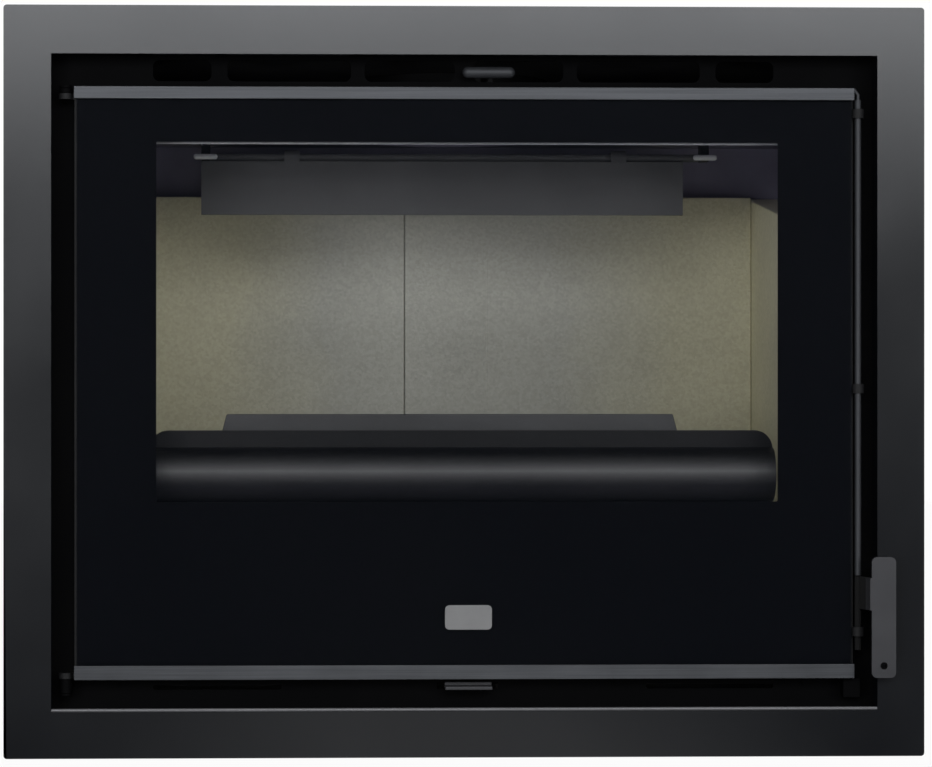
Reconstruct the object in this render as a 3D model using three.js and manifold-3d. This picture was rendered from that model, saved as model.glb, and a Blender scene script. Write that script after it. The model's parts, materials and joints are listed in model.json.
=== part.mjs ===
// Built-in fireplace insert: a steel firebox lined with vermiculite inside a convection casing, with a
// four-sided surround, a glazed door hinged on the left, a latch rod down its right edge and two air slides.
// Millimetres, +Z up, +X right, +Y into the wall. The origin is the middle of the footprint.
import * as THREE from "three";
import { mergeVertices } from "three/addons/utils/BufferGeometryUtils.js";
import Module from "manifold-3d";

const wasm = await Module();
wasm.setup();

// ---- driving dimensions ------------------------------------------------------------------------------
const SEAT = 0.3; // gap kept where two pieces rest on each other
const RUN = 0.3; // radial play of a turning or sliding piece
const PAST = 5; // how far a cutting tool runs beyond what it cuts
const FACETS = { tube: 48, pin: 32, rod: 24, wire: 20 }; // sides of round pieces, from large to small

const surround = {
  width: 800, height: 652, side: 41, top: 42, bottom: 40,
  sheet: 2, outerReturn: 12, innerReturn: 25, corner: 3, fold: 0.4,
};
const casing = { depth: 430, sheet: 2, flueGap: 3, slotWidth: 60, slotHeight: 8, slots: 7, slotRise: 40 };
const jacket = { side: 27.3, under: 54.3, over: 54.3, behind: 40 }; // air space round the firebox
const grip = { width: 21, height: 104.5, thick: 4, proud: 18, corner: 4.5, rise: 2.1, aside: 7.8 };

// ---- places worked out from them, from the outside in ------------------------------------------------
const faceY = (grip.proud - casing.depth) / 2; // front face of the surround
const at = (setBack) => faceY + setBack; // a depth counted back from that face
const openHalf = surround.width / 2 - surround.side;
const openLow = surround.bottom;
const openHigh = surround.height - surround.top;
const caseInner = openHalf + surround.sheet + SEAT;
const caseHalf = caseInner + casing.sheet;
const caseLow = openLow - surround.sheet - SEAT - casing.sheet;
const caseHigh = openHigh + surround.sheet + SEAT + casing.sheet;
const caseFront = surround.sheet + SEAT;
const skid = { width: 40, sheet: 3, inset: 60, spread: caseHalf - 113.3 };

const firebox = {
  halfWidth: caseInner - jacket.side, low: caseLow + jacket.under, high: caseHigh - jacket.over,
  back: casing.depth - jacket.behind, sheet: 4, ventWidth: 20, vents: 5, ventRun: [44, 56],
};
const boxInnerHalf = firebox.halfWidth - firebox.sheet;
const boxFloor = firebox.low + firebox.sheet;
const boxCeiling = firebox.high - firebox.sheet;
const boxInnerBack = firebox.back - firebox.sheet;
const mouthHalf = boxInnerHalf - 34;

const frontPlate = { setBack: 27.6, sheet: 3, corner: 1, mouthCorner: 4 };
const plateBack = frontPlate.setBack + frontPlate.sheet;
const boxFront = plateBack + SEAT;
// The warm-air windows and the thin slots below are shares of a row's half width.
const outlet = {
  windows: [[0.03, 0.32], [0.364, 0.761], [0.8125, 1]], reach: mouthHalf - 24,
  low: openHigh - 21.5, high: openHigh - 3, corner: 6,
};
const inlet = {
  from: 0.588 * outlet.reach, to: outlet.reach, low: openLow + 17, high: openLow + 21, corner: 1.5,
};
const flue = {
  radius: 90, wall: 2, setBack: casing.depth - 140, top: surround.height - 2, flange: 98, flangeSheet: 3,
};

const brick = { thick: 30, joint: 0.5, top: boxCeiling - 50, fall: 44, centreWidth: 79, front: 34 };
const brickBack = boxInnerBack - SEAT;
const brickFace = brickBack - brick.thick;
const sideFace = boxInnerHalf - SEAT - brick.thick;
const floor = { top: boxFloor + 56, thick: 30, tray: 3, legSheet: 3 };
const trayTop = floor.top - floor.thick;
const grate = {
  halfWidth: 120, front: 125, depth: 200, thick: 16, slots: 11, bar: 9, rim: 12, ledge: 10, slotRound: 0.45,
};
const grateBack = grate.front + grate.depth;
const ashPan = { halfWidth: 104, front: 60, back: boxInnerBack - 46, height: 20, sheet: 1.5, lip: 12 };
const retainer = {
  halfWidth: mouthHalf - 20, top: floor.top + 133, setBack: 60, sheet: 4, bulge: 24, bulgeDrop: 39,
  corner: 16,
};
const fence = {
  offset: -8, halfWidth: retainer.halfWidth - 67, top: retainer.top + 14, setBack: 108, sheet: 4,
  slope: 8, shoulder: 30,
};
const baffle = {
  offset: -12, halfWidth: sideFace - 78.7, setBack: 165, lip: 49, high: boxCeiling - 28, sheet: 4,
  restOverlap: 7,
};
const bar = {
  radius: 3.5, hangerSpread: baffle.halfWidth + 8, hangerWidth: 8, hangerDepth: 16,
  tabSpread: baffle.halfWidth - 71, tabWidth: 14, tabWall: 3,
};
const barZ = baffle.high + SEAT + bar.radius;
const barY = baffle.setBack + baffle.sheet + bar.radius;
const airwash = { low: boxCeiling - 22, depth: 26, sheet: 2, fall: 12, clear: 4 };

const door = { halfWidth: openHalf - 19.5, low: openLow + 27.5, high: openHigh - 28, setBack: 3 };
const glass = { thick: 4, edge: 2, behindRail: 2 };
const rail = { topHeight: 10.7, bottomHeight: 12.5, sheet: 1.5 };
const doorFrame = {
  sheet: 3, corner: 2, windowHalfWidth: mouthHalf - 16, windowLow: door.low + 144.5,
  windowHigh: door.high - 37, windowCorner: 4, flangeInset: 12, flangeBack: 24, flangeCorner: 3, overlap: 2,
};
const tape = { thick: 2.7, width: 12, corner: 3 };
const seal = { width: 10, outset: 5, corner: 6, innerCorner: 2 };
const glassFront = door.setBack + glass.behindRail;
const glassBack = glassFront + glass.thick;
const frameFront = glassBack + SEAT + tape.thick + SEAT;
const frameBack = frameFront + doorFrame.sheet;
const sealFront = frameBack + SEAT;
const sealBack = frontPlate.setBack - SEAT;
const badge = { width: 41, height: 21.5, low: door.low + 43, corner: 4, thick: 1.5, offset: 2.5 };

const hinge = {
  offset: 7.5, setBack: 11, pin: 4, ear: 6, earThick: 5, bracketRadius: 5.5, upperDrop: 11, lowerRise: 1,
  bracketThick: { upper: 4, lower: 12 },
};
const pinHead = { radius: 5.4, height: 2.5 };
const hingeX = -door.halfWidth - hinge.offset;
const rod = { offset: 3.7, setBack: 8, radius: 2.8, top: door.high - 10, lugRadius: 5.2, lugHeight: 8 };
const rodX = door.halfWidth + rod.offset;
const finger = { length: 13, width: 3.2, height: 16, heights: [door.high - 82, door.high - 249] };
const keeper = { width: 4, height: 24, reach: 9, inset: 1.8 };
const gripLow = door.low + grip.rise;
const gripLeft = rodX + grip.aside;
const arm = {
  low: gripLow + 58.4, height: 28, stub: gripLow + 22.4, inset: 1.5, lap: 5, bend: 1, holeRadius: 1.6,
  holeRise: 10.5,
};
const rodLow = arm.low + arm.height + 1;
const lugHeights = [rod.top - 12, finger.heights[1] - 13, arm.stub + 16];
const rest = { width: 15, right: rodX + 2.8, depth: 15, low: openLow + 10, gap: 0.6 };

const topPull = {
  x: 21, z: openHigh - 14, length: 46, radius: 5, setBack: 18, rod: 3, tabWidth: 16, tabThick: 3,
};
const shutter = { width: 220, front: 62, depth: 44, sheet: 2, tabInset: 24 };
const lowPull = {
  x: 3, width: 41, z: openLow + 18, thick: 3, setBack: 6, pad: 14, lipSheet: 2, stem: 12, lip: 6,
  travel: 20, clear: 1,
};
const lowShutter = { width: 220, front: 40, depth: 34, sheet: 2 };

// ---- shapes ------------------------------------------------------------------------------------------
function solid(geometry) {
  geometry.deleteAttribute("normal");
  geometry.deleteAttribute("uv");
  const merged = mergeVertices(geometry, 1e-4);
  return new wasm.Manifold(new wasm.Mesh({
    numProp: 3,
    vertProperties: merged.attributes.position.array,
    triVerts: new Uint32Array(merged.index.array),
  }));
}

const join = (...parts) => parts.reduce((a, b) => a.add(b));
const cut = (body, ...tools) => tools.reduce((a, b) => a.subtract(b), body);

// A box between two corners; y is a set-back from the surround's face.
function box([x0, x1], [y0, y1], [z0, z1]) {
  const geometry = new THREE.BoxGeometry(x1 - x0, y1 - y0, z1 - z0);
  return solid(geometry.translate((x0 + x1) / 2, at((y0 + y1) / 2), (z0 + z1) / 2));
}

// A cylinder along X, Y or Z about a point, from one place to another on that axis.
function rodAlong(axis, [u, v], radius, from, to, segments = FACETS.pin) {
  const geometry = new THREE.CylinderGeometry(radius, radius, to - from, segments);
  const middle = (from + to) / 2;
  if (axis === "x") geometry.rotateZ(-Math.PI / 2).translate(middle, at(u), v);
  if (axis === "y") geometry.translate(u, at(middle), v);
  if (axis === "z") geometry.rotateX(Math.PI / 2).translate(u, at(v), middle);
  return solid(geometry);
}

function roundedRect([x0, x1], [z0, z1], radius, PathType = THREE.Shape) {
  const path = new PathType();
  path.moveTo(x0 + radius, z0).lineTo(x1 - radius, z0);
  path.absarc(x1 - radius, z0 + radius, radius, -Math.PI / 2, 0);
  path.lineTo(x1, z1 - radius).absarc(x1 - radius, z1 - radius, radius, 0, Math.PI / 2);
  path.lineTo(x0 + radius, z1).absarc(x0 + radius, z1 - radius, radius, Math.PI / 2, Math.PI);
  path.lineTo(x0, z0 + radius).absarc(x0 + radius, z0 + radius, radius, Math.PI, 1.5 * Math.PI);
  return path;
}

function polygon(points) {
  return new THREE.Shape(points.map(([u, v]) => new THREE.Vector2(u, v)));
}

function extrude(shape, length) {
  return new THREE.ExtrudeGeometry(shape, { depth: length, bevelEnabled: false, curveSegments: 5 });
}

// A front-view outline (x, z) carried from one set-back to another.
function plateFacingY(shape, y0, y1) {
  return solid(extrude(shape, y1 - y0).rotateX(Math.PI / 2).translate(0, at(y1), 0));
}

// A plan outline (x, set-back) carried from one height to another.
function plateFacingZ(shape, z0, z1) {
  return solid(extrude(shape, z1 - z0).translate(0, at(0), z0));
}

// A side-view profile (set-back, z) carried from x0 to x1.
function profileAlongX(shape, x0, x1) {
  const turn = new THREE.Matrix4().makeBasis(
    new THREE.Vector3(0, 1, 0), new THREE.Vector3(0, 0, 1), new THREE.Vector3(1, 0, 0),
  );
  return solid(extrude(shape, x1 - x0).applyMatrix4(turn).translate(x0, at(0), 0));
}

const both = (half) => [-half, half];

// ---- finishes and the assembly -----------------------------------------------------------------------
const finish = (color, roughness, metalness = 0) =>
  new THREE.MeshStandardMaterial({ color, roughness, metalness });
const finishes = {
  satinSteel: finish(0x5a5d60, 0.35, 0.8),
  darkPaint: finish(0x26282c, 0.55),
  blackSteel: finish(0x121315, 0.6),
  castIron: finish(0x1d1c20, 0.7),
  vermiculite: finish(0x9a9478, 0.95),
  ceramicGlass: finish(0x0e0f13, 0.08),
  glassRope: finish(0x3c3b38, 1.0),
  galvanised: finish(0x8b8d90, 0.45, 0.7),
  brightSteel: finish(0xa0a2a5, 0.3, 0.9),
};
finishes.ceramicGlass.transparent = true;
finishes.ceramicGlass.opacity = 0.4;

const insert = new THREE.Group();

function place(name, body, material) {
  const { numProp, vertProperties, triVerts } = body.getMesh();
  const geometry = new THREE.BufferGeometry()
    .setAttribute("position", new THREE.BufferAttribute(Float32Array.from(vertProperties), numProp))
    .setIndex(new THREE.BufferAttribute(Uint32Array.from(triVerts), 1));
  geometry.computeVertexNormals();
  const mesh = new THREE.Mesh(geometry, material);
  mesh.name = name;
  insert.add(mesh);
}

// ---- surround and casing -----------------------------------------------------------------------------
function ring(outerX, outerZ, wallX, wallZ, y0, y1, corner) {
  const shape = roundedRect(outerX, outerZ, corner);
  shape.holes.push(roundedRect(wallX, wallZ, surround.fold, THREE.Path));
  return plateFacingY(shape, y0, y1);
}

function makeSurround() {
  const { width, height, sheet, corner, outerReturn, innerReturn } = surround;
  const half = width / 2;
  const face = ring(both(half), [0, height], both(openHalf), [openLow, openHigh], 0, sheet, corner);
  const rimInner = [both(half - sheet), [sheet, height - sheet]];
  const rim = ring(both(half), [0, height], ...rimInner, 0, outerReturn, corner);
  const throatOuter = [both(openHalf + sheet), [openLow - sheet, openHigh + sheet]];
  const throat = ring(...throatOuter, both(openHalf), [openLow, openHigh], 0, innerReturn, surround.fold);
  place("surround_frame", join(face, rim, throat), finishes.darkPaint);
}

function makeCasing() {
  const { depth, sheet } = casing;
  const flueHole = flue.radius + casing.flueGap;
  const shell = cut(
    box(both(caseHalf), [caseFront, depth], [caseLow, caseHigh]),
    box(both(caseInner), [0, depth - sheet], [caseLow + sheet, caseHigh - sheet]),
    rodAlong("z", [0, flue.setBack], flueHole, caseHigh - PAST, caseHigh + PAST, FACETS.tube),
  );
  const pitch = casing.slotWidth * 1.5;
  const slotLow = caseLow + casing.slotRise;
  const intake = Array.from({ length: casing.slots }, (_, i) => {
    const middle = (i - (casing.slots - 1) / 2) * pitch;
    const slot = roundedRect(
      [middle - casing.slotWidth / 2, middle + casing.slotWidth / 2],
      [slotLow, slotLow + casing.slotHeight], casing.slotHeight * 0.48,
    );
    return plateFacingY(slot, depth - PAST, depth + PAST);
  });
  place("casing_shell", cut(shell, ...intake), finishes.galvanised);
}

function makeSkid(name, middle) {
  const half = skid.width / 2;
  const high = caseLow - SEAT;
  const web = [middle - half, middle - half + skid.sheet];
  const run = [skid.inset, casing.depth - skid.inset];
  const body = join(
    box([middle - half, middle + half], run, [0, skid.sheet]),
    box(web, run, [0, high]),
    box([middle - half, middle + half], run, [high - skid.sheet, high]),
  );
  place(name, body, finishes.blackSteel);
}

function makeFrontPlate() {
  const half = caseInner - SEAT;
  const height = [caseLow + casing.sheet + SEAT, caseHigh - casing.sheet - SEAT];
  const shape = roundedRect(both(half), height, frontPlate.corner);
  shape.holes.push(roundedRect(both(mouthHalf), [boxFloor, boxCeiling], frontPlate.mouthCorner, THREE.Path));
  for (const side of [-1, 1]) {
    for (const shares of outlet.windows) {
      const [near, far] = shares.map((share) => share * outlet.reach);
      const span = side > 0 ? [near, far] : [-far, -near];
      shape.holes.push(roundedRect(span, [outlet.low, outlet.high], outlet.corner, THREE.Path));
    }
    const slot = side > 0 ? [inlet.from, inlet.to] : [-inlet.to, -inlet.from];
    shape.holes.push(roundedRect(slot, [inlet.low, inlet.high], inlet.corner, THREE.Path));
  }
  const { x, z, thick, stem, travel, clear } = lowPull;
  const reach = stem / 2 + travel + clear;
  shape.holes.push(roundedRect([x - reach, x + reach], [z - clear, z + thick + clear], clear, THREE.Path));
  place("front_plate", plateFacingY(shape, frontPlate.setBack, plateBack), finishes.blackSteel);
}

// ---- firebox and its lining --------------------------------------------------------------------------
// The row of air slots that a slide plate opens and shuts, one in the ceiling and one in the floor.
function ventSlots(middle, z0, z1) {
  const pitch = 2 * firebox.ventWidth;
  return Array.from({ length: firebox.vents }, (_, i) => {
    const left = middle + (i - (firebox.vents - 1) / 2) * pitch - firebox.ventWidth / 2;
    return box([left, left + firebox.ventWidth], firebox.ventRun, [z0, z1]);
  });
}

function makeFirebox() {
  const roof = [boxCeiling - PAST, firebox.high + PAST];
  const body = cut(
    box(both(firebox.halfWidth), [boxFront, firebox.back], [firebox.low, firebox.high]),
    box(both(boxInnerHalf), [0, boxInnerBack], [boxFloor, boxCeiling]),
    rodAlong("z", [0, flue.setBack], flue.radius - flue.wall, ...roof, FACETS.tube),
    ...ventSlots(0, ...roof),
    ...ventSlots(lowPull.x, firebox.low - PAST, boxFloor + PAST),
  );
  place("firebox", body, finishes.blackSteel);
}

function makeFlueCollar() {
  const inner = flue.radius - flue.wall;
  const low = firebox.high + SEAT;
  const points = [
    [inner, low], [flue.flange, low], [flue.flange, low + flue.flangeSheet],
    [flue.radius, low + flue.flangeSheet], [flue.radius, flue.top], [inner, flue.top], [inner, low],
  ].map(([r, z]) => new THREE.Vector2(r, z));
  const geometry = new THREE.LatheGeometry(points, FACETS.tube).rotateX(Math.PI / 2);
  place("flue_collar", solid(geometry.translate(0, at(flue.setBack), 0)), finishes.darkPaint);
}

function makeLining() {
  const low = floor.top + SEAT;
  const half = brick.centreWidth / 2;
  const { joint } = brick;
  const spans = {
    left: [-sideFace + joint, -half - joint], centre: both(half), right: [half + joint, sideFace - joint],
  };
  for (const [side, span] of Object.entries(spans)) {
    place(`back_brick_${side}`, box(span, [brickFace, brickBack], [low, brick.top]), finishes.vermiculite);
  }
  const profile = polygon([
    [brick.front, low], [brickBack, low], [brickBack, brick.top], [brick.front, brick.top - brick.fall],
  ]);
  place("side_brick_left", profileAlongX(profile, -sideFace - brick.thick, -sideFace), finishes.vermiculite);
  place("side_brick_right", profileAlongX(profile, sideFace, sideFace + brick.thick), finishes.vermiculite);
}

function makeHearth() {
  const { tray, legSheet } = floor;
  const outer = boxInnerHalf - SEAT;
  const run = [brick.front, brickBack];
  const { ledge } = grate;
  const opening = grate.halfWidth - ledge;
  const deck = cut(
    box(both(outer), run, [trayTop - tray, trayTop]),
    box(both(opening), [grate.front + ledge, grateBack - ledge], [trayTop - PAST, trayTop + PAST]),
  );
  const legs = [[-outer, legSheet - outer], [outer - legSheet, outer]].map(
    (span) => box(span, run, [boxFloor + SEAT, trayTop]),
  );
  place("hearth_tray", join(deck, ...legs), finishes.blackSteel);

  const height = [trayTop + SEAT, floor.top];
  const inner = grate.halfWidth + SEAT;
  place("floor_brick_left", box([-outer, -inner], run, height), finishes.vermiculite);
  place("floor_brick_right", box([inner, outer], run, height), finishes.vermiculite);
  const middle = both(grate.halfWidth - SEAT);
  place("floor_brick_front", box(middle, [brick.front, grate.front - SEAT], height), finishes.vermiculite);
  place("floor_brick_back", box(middle, [grateBack + SEAT, brickBack], height), finishes.vermiculite);
}

function makeGrate() {
  const half = grate.halfWidth - SEAT;
  const low = trayTop + SEAT;
  const inner = half - grate.rim;
  const slot = (2 * inner - (grate.slots - 1) * grate.bar) / grate.slots;
  const frame = box(both(half), [grate.front, grateBack], [low, low + grate.thick]);
  const slots = Array.from({ length: grate.slots }, (_, i) => {
    const left = -inner + i * (slot + grate.bar);
    const run = [grate.front + grate.rim, grateBack - grate.rim];
    const opening = roundedRect([left, left + slot], run, slot * grate.slotRound);
    return plateFacingZ(opening, low - PAST, low + grate.thick + PAST);
  });
  place("grate", cut(frame, ...slots), finishes.castIron);
}

function makeAshPan() {
  const { halfWidth, front, back, height, sheet, lip } = ashPan;
  const low = boxFloor + SEAT;
  const tub = cut(
    box(both(halfWidth), [front, back], [low, low + height]),
    box(both(halfWidth - sheet), [front + sheet, back - sheet], [low + sheet, low + height + PAST]),
  );
  const pull = box(both(halfWidth / 2), [front - lip, front + sheet], [low + height - sheet, low + height]);
  place("ash_pan", join(tub, pull), finishes.galvanised);
}

// The guard that keeps logs off the glass: a plate rolled into a half-round bulge, with rounded shoulders.
function makeLogRetainer() {
  const { setBack, sheet, bulge, bulgeDrop, top, halfWidth, corner } = retainer;
  const bulgeHeight = top - bulgeDrop;
  const low = floor.top + SEAT;
  const shape = new THREE.Shape();
  shape.moveTo(setBack, low).lineTo(setBack + sheet, low);
  shape.lineTo(setBack + sheet, bulgeHeight - bulge + sheet);
  shape.absarc(setBack + sheet, bulgeHeight, bulge - sheet, -Math.PI / 2, Math.PI / 2, true);
  shape.lineTo(setBack + sheet, top).lineTo(setBack, top).lineTo(setBack, bulgeHeight + bulge);
  shape.absarc(setBack, bulgeHeight, bulge, Math.PI / 2, -Math.PI / 2, false);
  const rolled = solid(new THREE.ExtrudeGeometry(shape, {
    depth: 2 * halfWidth, bevelEnabled: false, curveSegments: 16,
  }).applyMatrix4(new THREE.Matrix4().makeBasis(
    new THREE.Vector3(0, 1, 0), new THREE.Vector3(0, 0, 1), new THREE.Vector3(1, 0, 0),
  )).translate(-halfWidth, at(0), 0));
  const outline = roundedRect(both(halfWidth), [low - 2 * corner, top], corner);
  const shoulders = plateFacingY(outline, 0, 2 * setBack);
  place("log_retainer", rolled.intersect(shoulders), finishes.castIron);
}

function makeFence() {
  const { offset, halfWidth, top, setBack, sheet, slope, shoulder } = fence;
  const low = floor.top + SEAT;
  const left = offset - halfWidth;
  const right = offset + halfWidth;
  const outline = polygon([
    [left, low], [right, low], [right, top - shoulder], [right - slope, top], [left + slope, top],
    [left, top - shoulder],
  ]);
  place("inner_fence", plateFacingY(outline, setBack, setBack + sheet), finishes.castIron);
}

// The smoke baffle hangs on a cross bar at its front by two tabs and rests on the back bricks behind.
function makeBaffle() {
  const { offset, halfWidth, setBack, lip, high, sheet, restOverlap } = baffle;
  const span = [offset - halfWidth, offset + halfWidth];
  const heel = brickFace + restOverlap;
  const tab = (side) => {
    const middle = side * bar.tabSpread;
    const ringRadius = bar.radius + SEAT + bar.tabWall;
    const width = [middle - bar.tabWidth / 2, middle + bar.tabWidth / 2];
    return cut(
      join(
        rodAlong("x", [barY, barZ], ringRadius, ...width, FACETS.wire),
        box(width, [barY - ringRadius, barY + ringRadius], [high - sheet, barZ]),
      ),
      rodAlong("x", [barY, barZ], bar.radius + SEAT, width[0] - PAST, width[1] + PAST, FACETS.wire),
    );
  };
  const body = join(
    box(span, [setBack, setBack + sheet], [high - lip, high]),
    box(span, [setBack, heel + sheet], [high - sheet, high]),
    box(span, [heel, heel + sheet], [brick.top + SEAT, high]),
    tab(-1), tab(1),
  );
  place("smoke_baffle", body, finishes.darkPaint);
}

function makeBaffleBar() {
  const reach = bar.hangerSpread - bar.hangerWidth / 2 - SEAT;
  const rodBody = rodAlong("x", [barY, barZ], bar.radius, -reach, reach, FACETS.wire);
  place("baffle_bar", rodBody, finishes.brightSteel);
  const run = [barY - bar.hangerDepth / 2, barY + bar.hangerDepth / 2];
  for (const [name, side] of [["bar_hanger_left", -1], ["bar_hanger_right", 1]]) {
    const middle = side * bar.hangerSpread;
    const width = [middle - bar.hangerWidth / 2, middle + bar.hangerWidth / 2];
    place(name, box(width, run, [baffle.high + SEAT, boxCeiling - SEAT]), finishes.brightSteel);
  }
}

function makeAirwashStrip() {
  const { low, depth, sheet, fall, clear } = airwash;
  const front = boxFront + clear;
  const high = boxCeiling - SEAT;
  const shape = polygon([
    [front, low], [front + depth, low + fall], [front + depth, high], [front + depth - sheet, high],
    [front + depth - sheet, low + fall + sheet], [front, low + sheet],
  ]);
  const half = mouthHalf - clear;
  place("airwash_strip", profileAlongX(shape, -half, half), finishes.brightSteel);
}

// ---- door --------------------------------------------------------------------------------------------
const glassHalf = door.halfWidth - glass.edge;
const glassLow = door.low + rail.sheet + SEAT;
const glassHigh = door.high - rail.sheet - SEAT;
const earHeights = {
  upper: [door.high - hinge.upperDrop, door.high - hinge.upperDrop + hinge.earThick],
  lower: [door.low + hinge.lowerRise, door.low + hinge.lowerRise + hinge.earThick],
};

function makeGlass() {
  const pane = box(both(glassHalf), [glassFront, glassBack], [glassLow, glassHigh]);
  place("door_glass", pane, finishes.ceramicGlass);
  const { windowHalfWidth, windowLow, windowHigh } = doorFrame;
  const { width, corner } = tape;
  const shape = roundedRect(both(windowHalfWidth + width), [windowLow - width, windowHigh + width], corner);
  shape.holes.push(roundedRect(both(windowHalfWidth), [windowLow, windowHigh], corner, THREE.Path));
  place("glass_tape", plateFacingY(shape, glassBack + SEAT, frameFront - SEAT), finishes.glassRope);
}

function makeRail(name, z0, z1, outerAtTop) {
  const { sheet } = rail;
  const back = frameFront - SEAT;
  const flange = outerAtTop ? [z1 - sheet, z1] : [z0, z0 + sheet];
  const body = join(
    box(both(door.halfWidth), [door.setBack, door.setBack + sheet], [z0, z1]),
    box(both(door.halfWidth), [door.setBack, back], flange),
  );
  place(name, body, finishes.satinSteel);
}

// The door frame carries the glass in front, the seal behind, two hinge ears and the lugs of the latch rod.
function makeDoorFrame() {
  const { sheet, corner, windowHalfWidth, windowLow, windowHigh, windowCorner, overlap } = doorFrame;
  const { flangeInset, flangeBack, flangeCorner } = doorFrame;
  const shape = roundedRect(both(door.halfWidth), [door.low, door.high], corner);
  shape.holes.push(roundedRect(both(windowHalfWidth), [windowLow, windowHigh], windowCorner, THREE.Path));
  const inset = door.halfWidth - flangeInset;
  const flange = ring(
    both(inset), [door.low + flangeInset / 2, door.high - flangeInset / 2],
    both(inset - sheet), [door.low + flangeInset / 2 + sheet, door.high - flangeInset / 2 - sheet],
    frameFront, flangeBack, flangeCorner,
  );
  const ears = Object.values(earHeights).map(([z0, z1]) => cut(
    join(
      rodAlong("z", [hingeX, hinge.setBack], hinge.ear, z0, z1),
      box([hingeX, -door.halfWidth + overlap], [frameFront, frameBack], [z0, z1]),
    ),
    rodAlong("z", [hingeX, hinge.setBack], hinge.pin + RUN, z0 - PAST, z1 + PAST),
  ));
  const lugs = lugHeights.map((middle) => {
    const span = [middle - rod.lugHeight / 2, middle + rod.lugHeight / 2];
    return cut(
      join(
        rodAlong("z", [rodX, rod.setBack], rod.lugRadius, ...span, FACETS.rod),
        box([door.halfWidth - overlap, rodX], [frameFront, frameBack], span),
      ),
      rodAlong("z", [rodX, rod.setBack], rod.radius + RUN, span[0] - PAST, span[1] + PAST, FACETS.rod),
    );
  });
  const body = join(plateFacingY(shape, frameFront, frameBack), flange, ...ears, ...lugs);
  place("door_frame", body, finishes.blackSteel);
}

function makeDoorSeal() {
  const { outset, width, corner, innerCorner } = seal;
  const inner = mouthHalf + outset;
  const low = boxFloor - outset;
  const high = boxCeiling + outset;
  const shape = roundedRect(both(inner + width), [low - width / 2, high + width / 2], corner);
  shape.holes.push(roundedRect(both(inner), [low + width / 2, high - width / 2], innerCorner, THREE.Path));
  place("door_seal", plateFacingY(shape, sealFront, sealBack), finishes.glassRope);
}

function makeBadgePlate() {
  const { width, height, low, corner, thick, offset } = badge;
  const back = glassFront - SEAT;
  const shape = roundedRect([offset - width / 2, offset + width / 2], [low, low + height], corner);
  place("badge_plate", plateFacingY(shape, back - thick, back), finishes.brightSteel);
}

// ---- hinges and latch --------------------------------------------------------------------------------
function makeHinge(which) {
  const [earLow, earHigh] = earHeights[which];
  const above = which === "upper";
  const { bracketRadius, pin, setBack } = hinge;
  const thick = hinge.bracketThick[which];
  const near = above ? earHigh + SEAT : earLow - SEAT - thick;
  const span = [near, near + thick];
  const bracket = cut(
    join(
      rodAlong("z", [hingeX, setBack], bracketRadius, ...span),
      box([hingeX - bracketRadius, hingeX + bracketRadius], [setBack, frontPlate.setBack - SEAT], span),
    ),
    rodAlong("z", [hingeX, setBack], pin + RUN, span[0] - PAST, span[1] + PAST),
  );
  place(`hinge_bracket_${which}`, bracket, finishes.blackSteel);
  const headSpan = above
    ? [span[1] + SEAT, span[1] + SEAT + pinHead.height]
    : [span[0] - SEAT - pinHead.height, span[0] - SEAT];
  const shank = above ? [earLow, headSpan[1]] : [headSpan[0], earHigh];
  const body = join(
    rodAlong("z", [hingeX, setBack], pin, ...shank),
    rodAlong("z", [hingeX, setBack], pinHead.radius, ...headSpan),
  );
  place(`hinge_pin_${which}`, body, finishes.brightSteel);
}

function makeLatch() {
  const fingers = finger.heights.map((middle) => box(
    [rodX - finger.width / 2, rodX + finger.width / 2],
    [rod.setBack, rod.setBack + finger.length],
    [middle - finger.height / 2, middle + finger.height / 2],
  ));
  const shaft = rodAlong("z", [rodX, rod.setBack], rod.radius, rodLow, rod.top, FACETS.rod);
  place("latch_rod", join(shaft, ...fingers), finishes.satinSteel);

  const names = ["keeper_upper", "keeper_lower"];
  finger.heights.forEach((middle, i) => {
    const right = rodX - finger.width / 2 - keeper.inset;
    const body = box(
      [right - keeper.width, right],
      [frontPlate.setBack - SEAT - keeper.reach, frontPlate.setBack - SEAT],
      [middle - keeper.height / 2, middle + keeper.height / 2],
    );
    place(names[i], body, finishes.brightSteel);
  });
}

// A block under the door's closing corner, which takes its weight when it shuts.
function makeDoorRest() {
  const back = frontPlate.setBack - SEAT;
  const span = [rest.right - rest.width, rest.right];
  const block = box(span, [back - rest.depth, back], [rest.low, door.low - rest.gap]);
  place("door_rest", block, finishes.galvanised);
}

function makeGrip() {
  const { width, height, thick, proud, corner } = grip;
  const { inset, lap, bend, holeRadius, holeRise } = arm;
  const left = gripLeft;
  const back = thick - proud;
  const high = arm.low + arm.height;
  const bladeShape = roundedRect([left, left + width], [gripLow, gripLow + height], corner);
  const outline = polygon([
    [rodX + bend, rod.setBack - rod.radius + bend], [left - inset, back - thick / 2], [left - inset, -proud],
    [left + lap, -proud], [left + lap, back], [left + bend, back], [rodX + rod.radius, rod.setBack],
  ]);
  const holeAt = [left + width / 2, gripLow + holeRise];
  const hole = rodAlong("y", holeAt, holeRadius, -proud - PAST, back + PAST, FACETS.wire);
  const stub = rodAlong("z", [rodX, rod.setBack], rod.radius, arm.stub, high, FACETS.rod);
  const body = join(plateFacingY(bladeShape, -proud, back), plateFacingZ(outline, arm.low, high), stub);
  place("door_grip", cut(body, hole), finishes.satinSteel);
}

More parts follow.
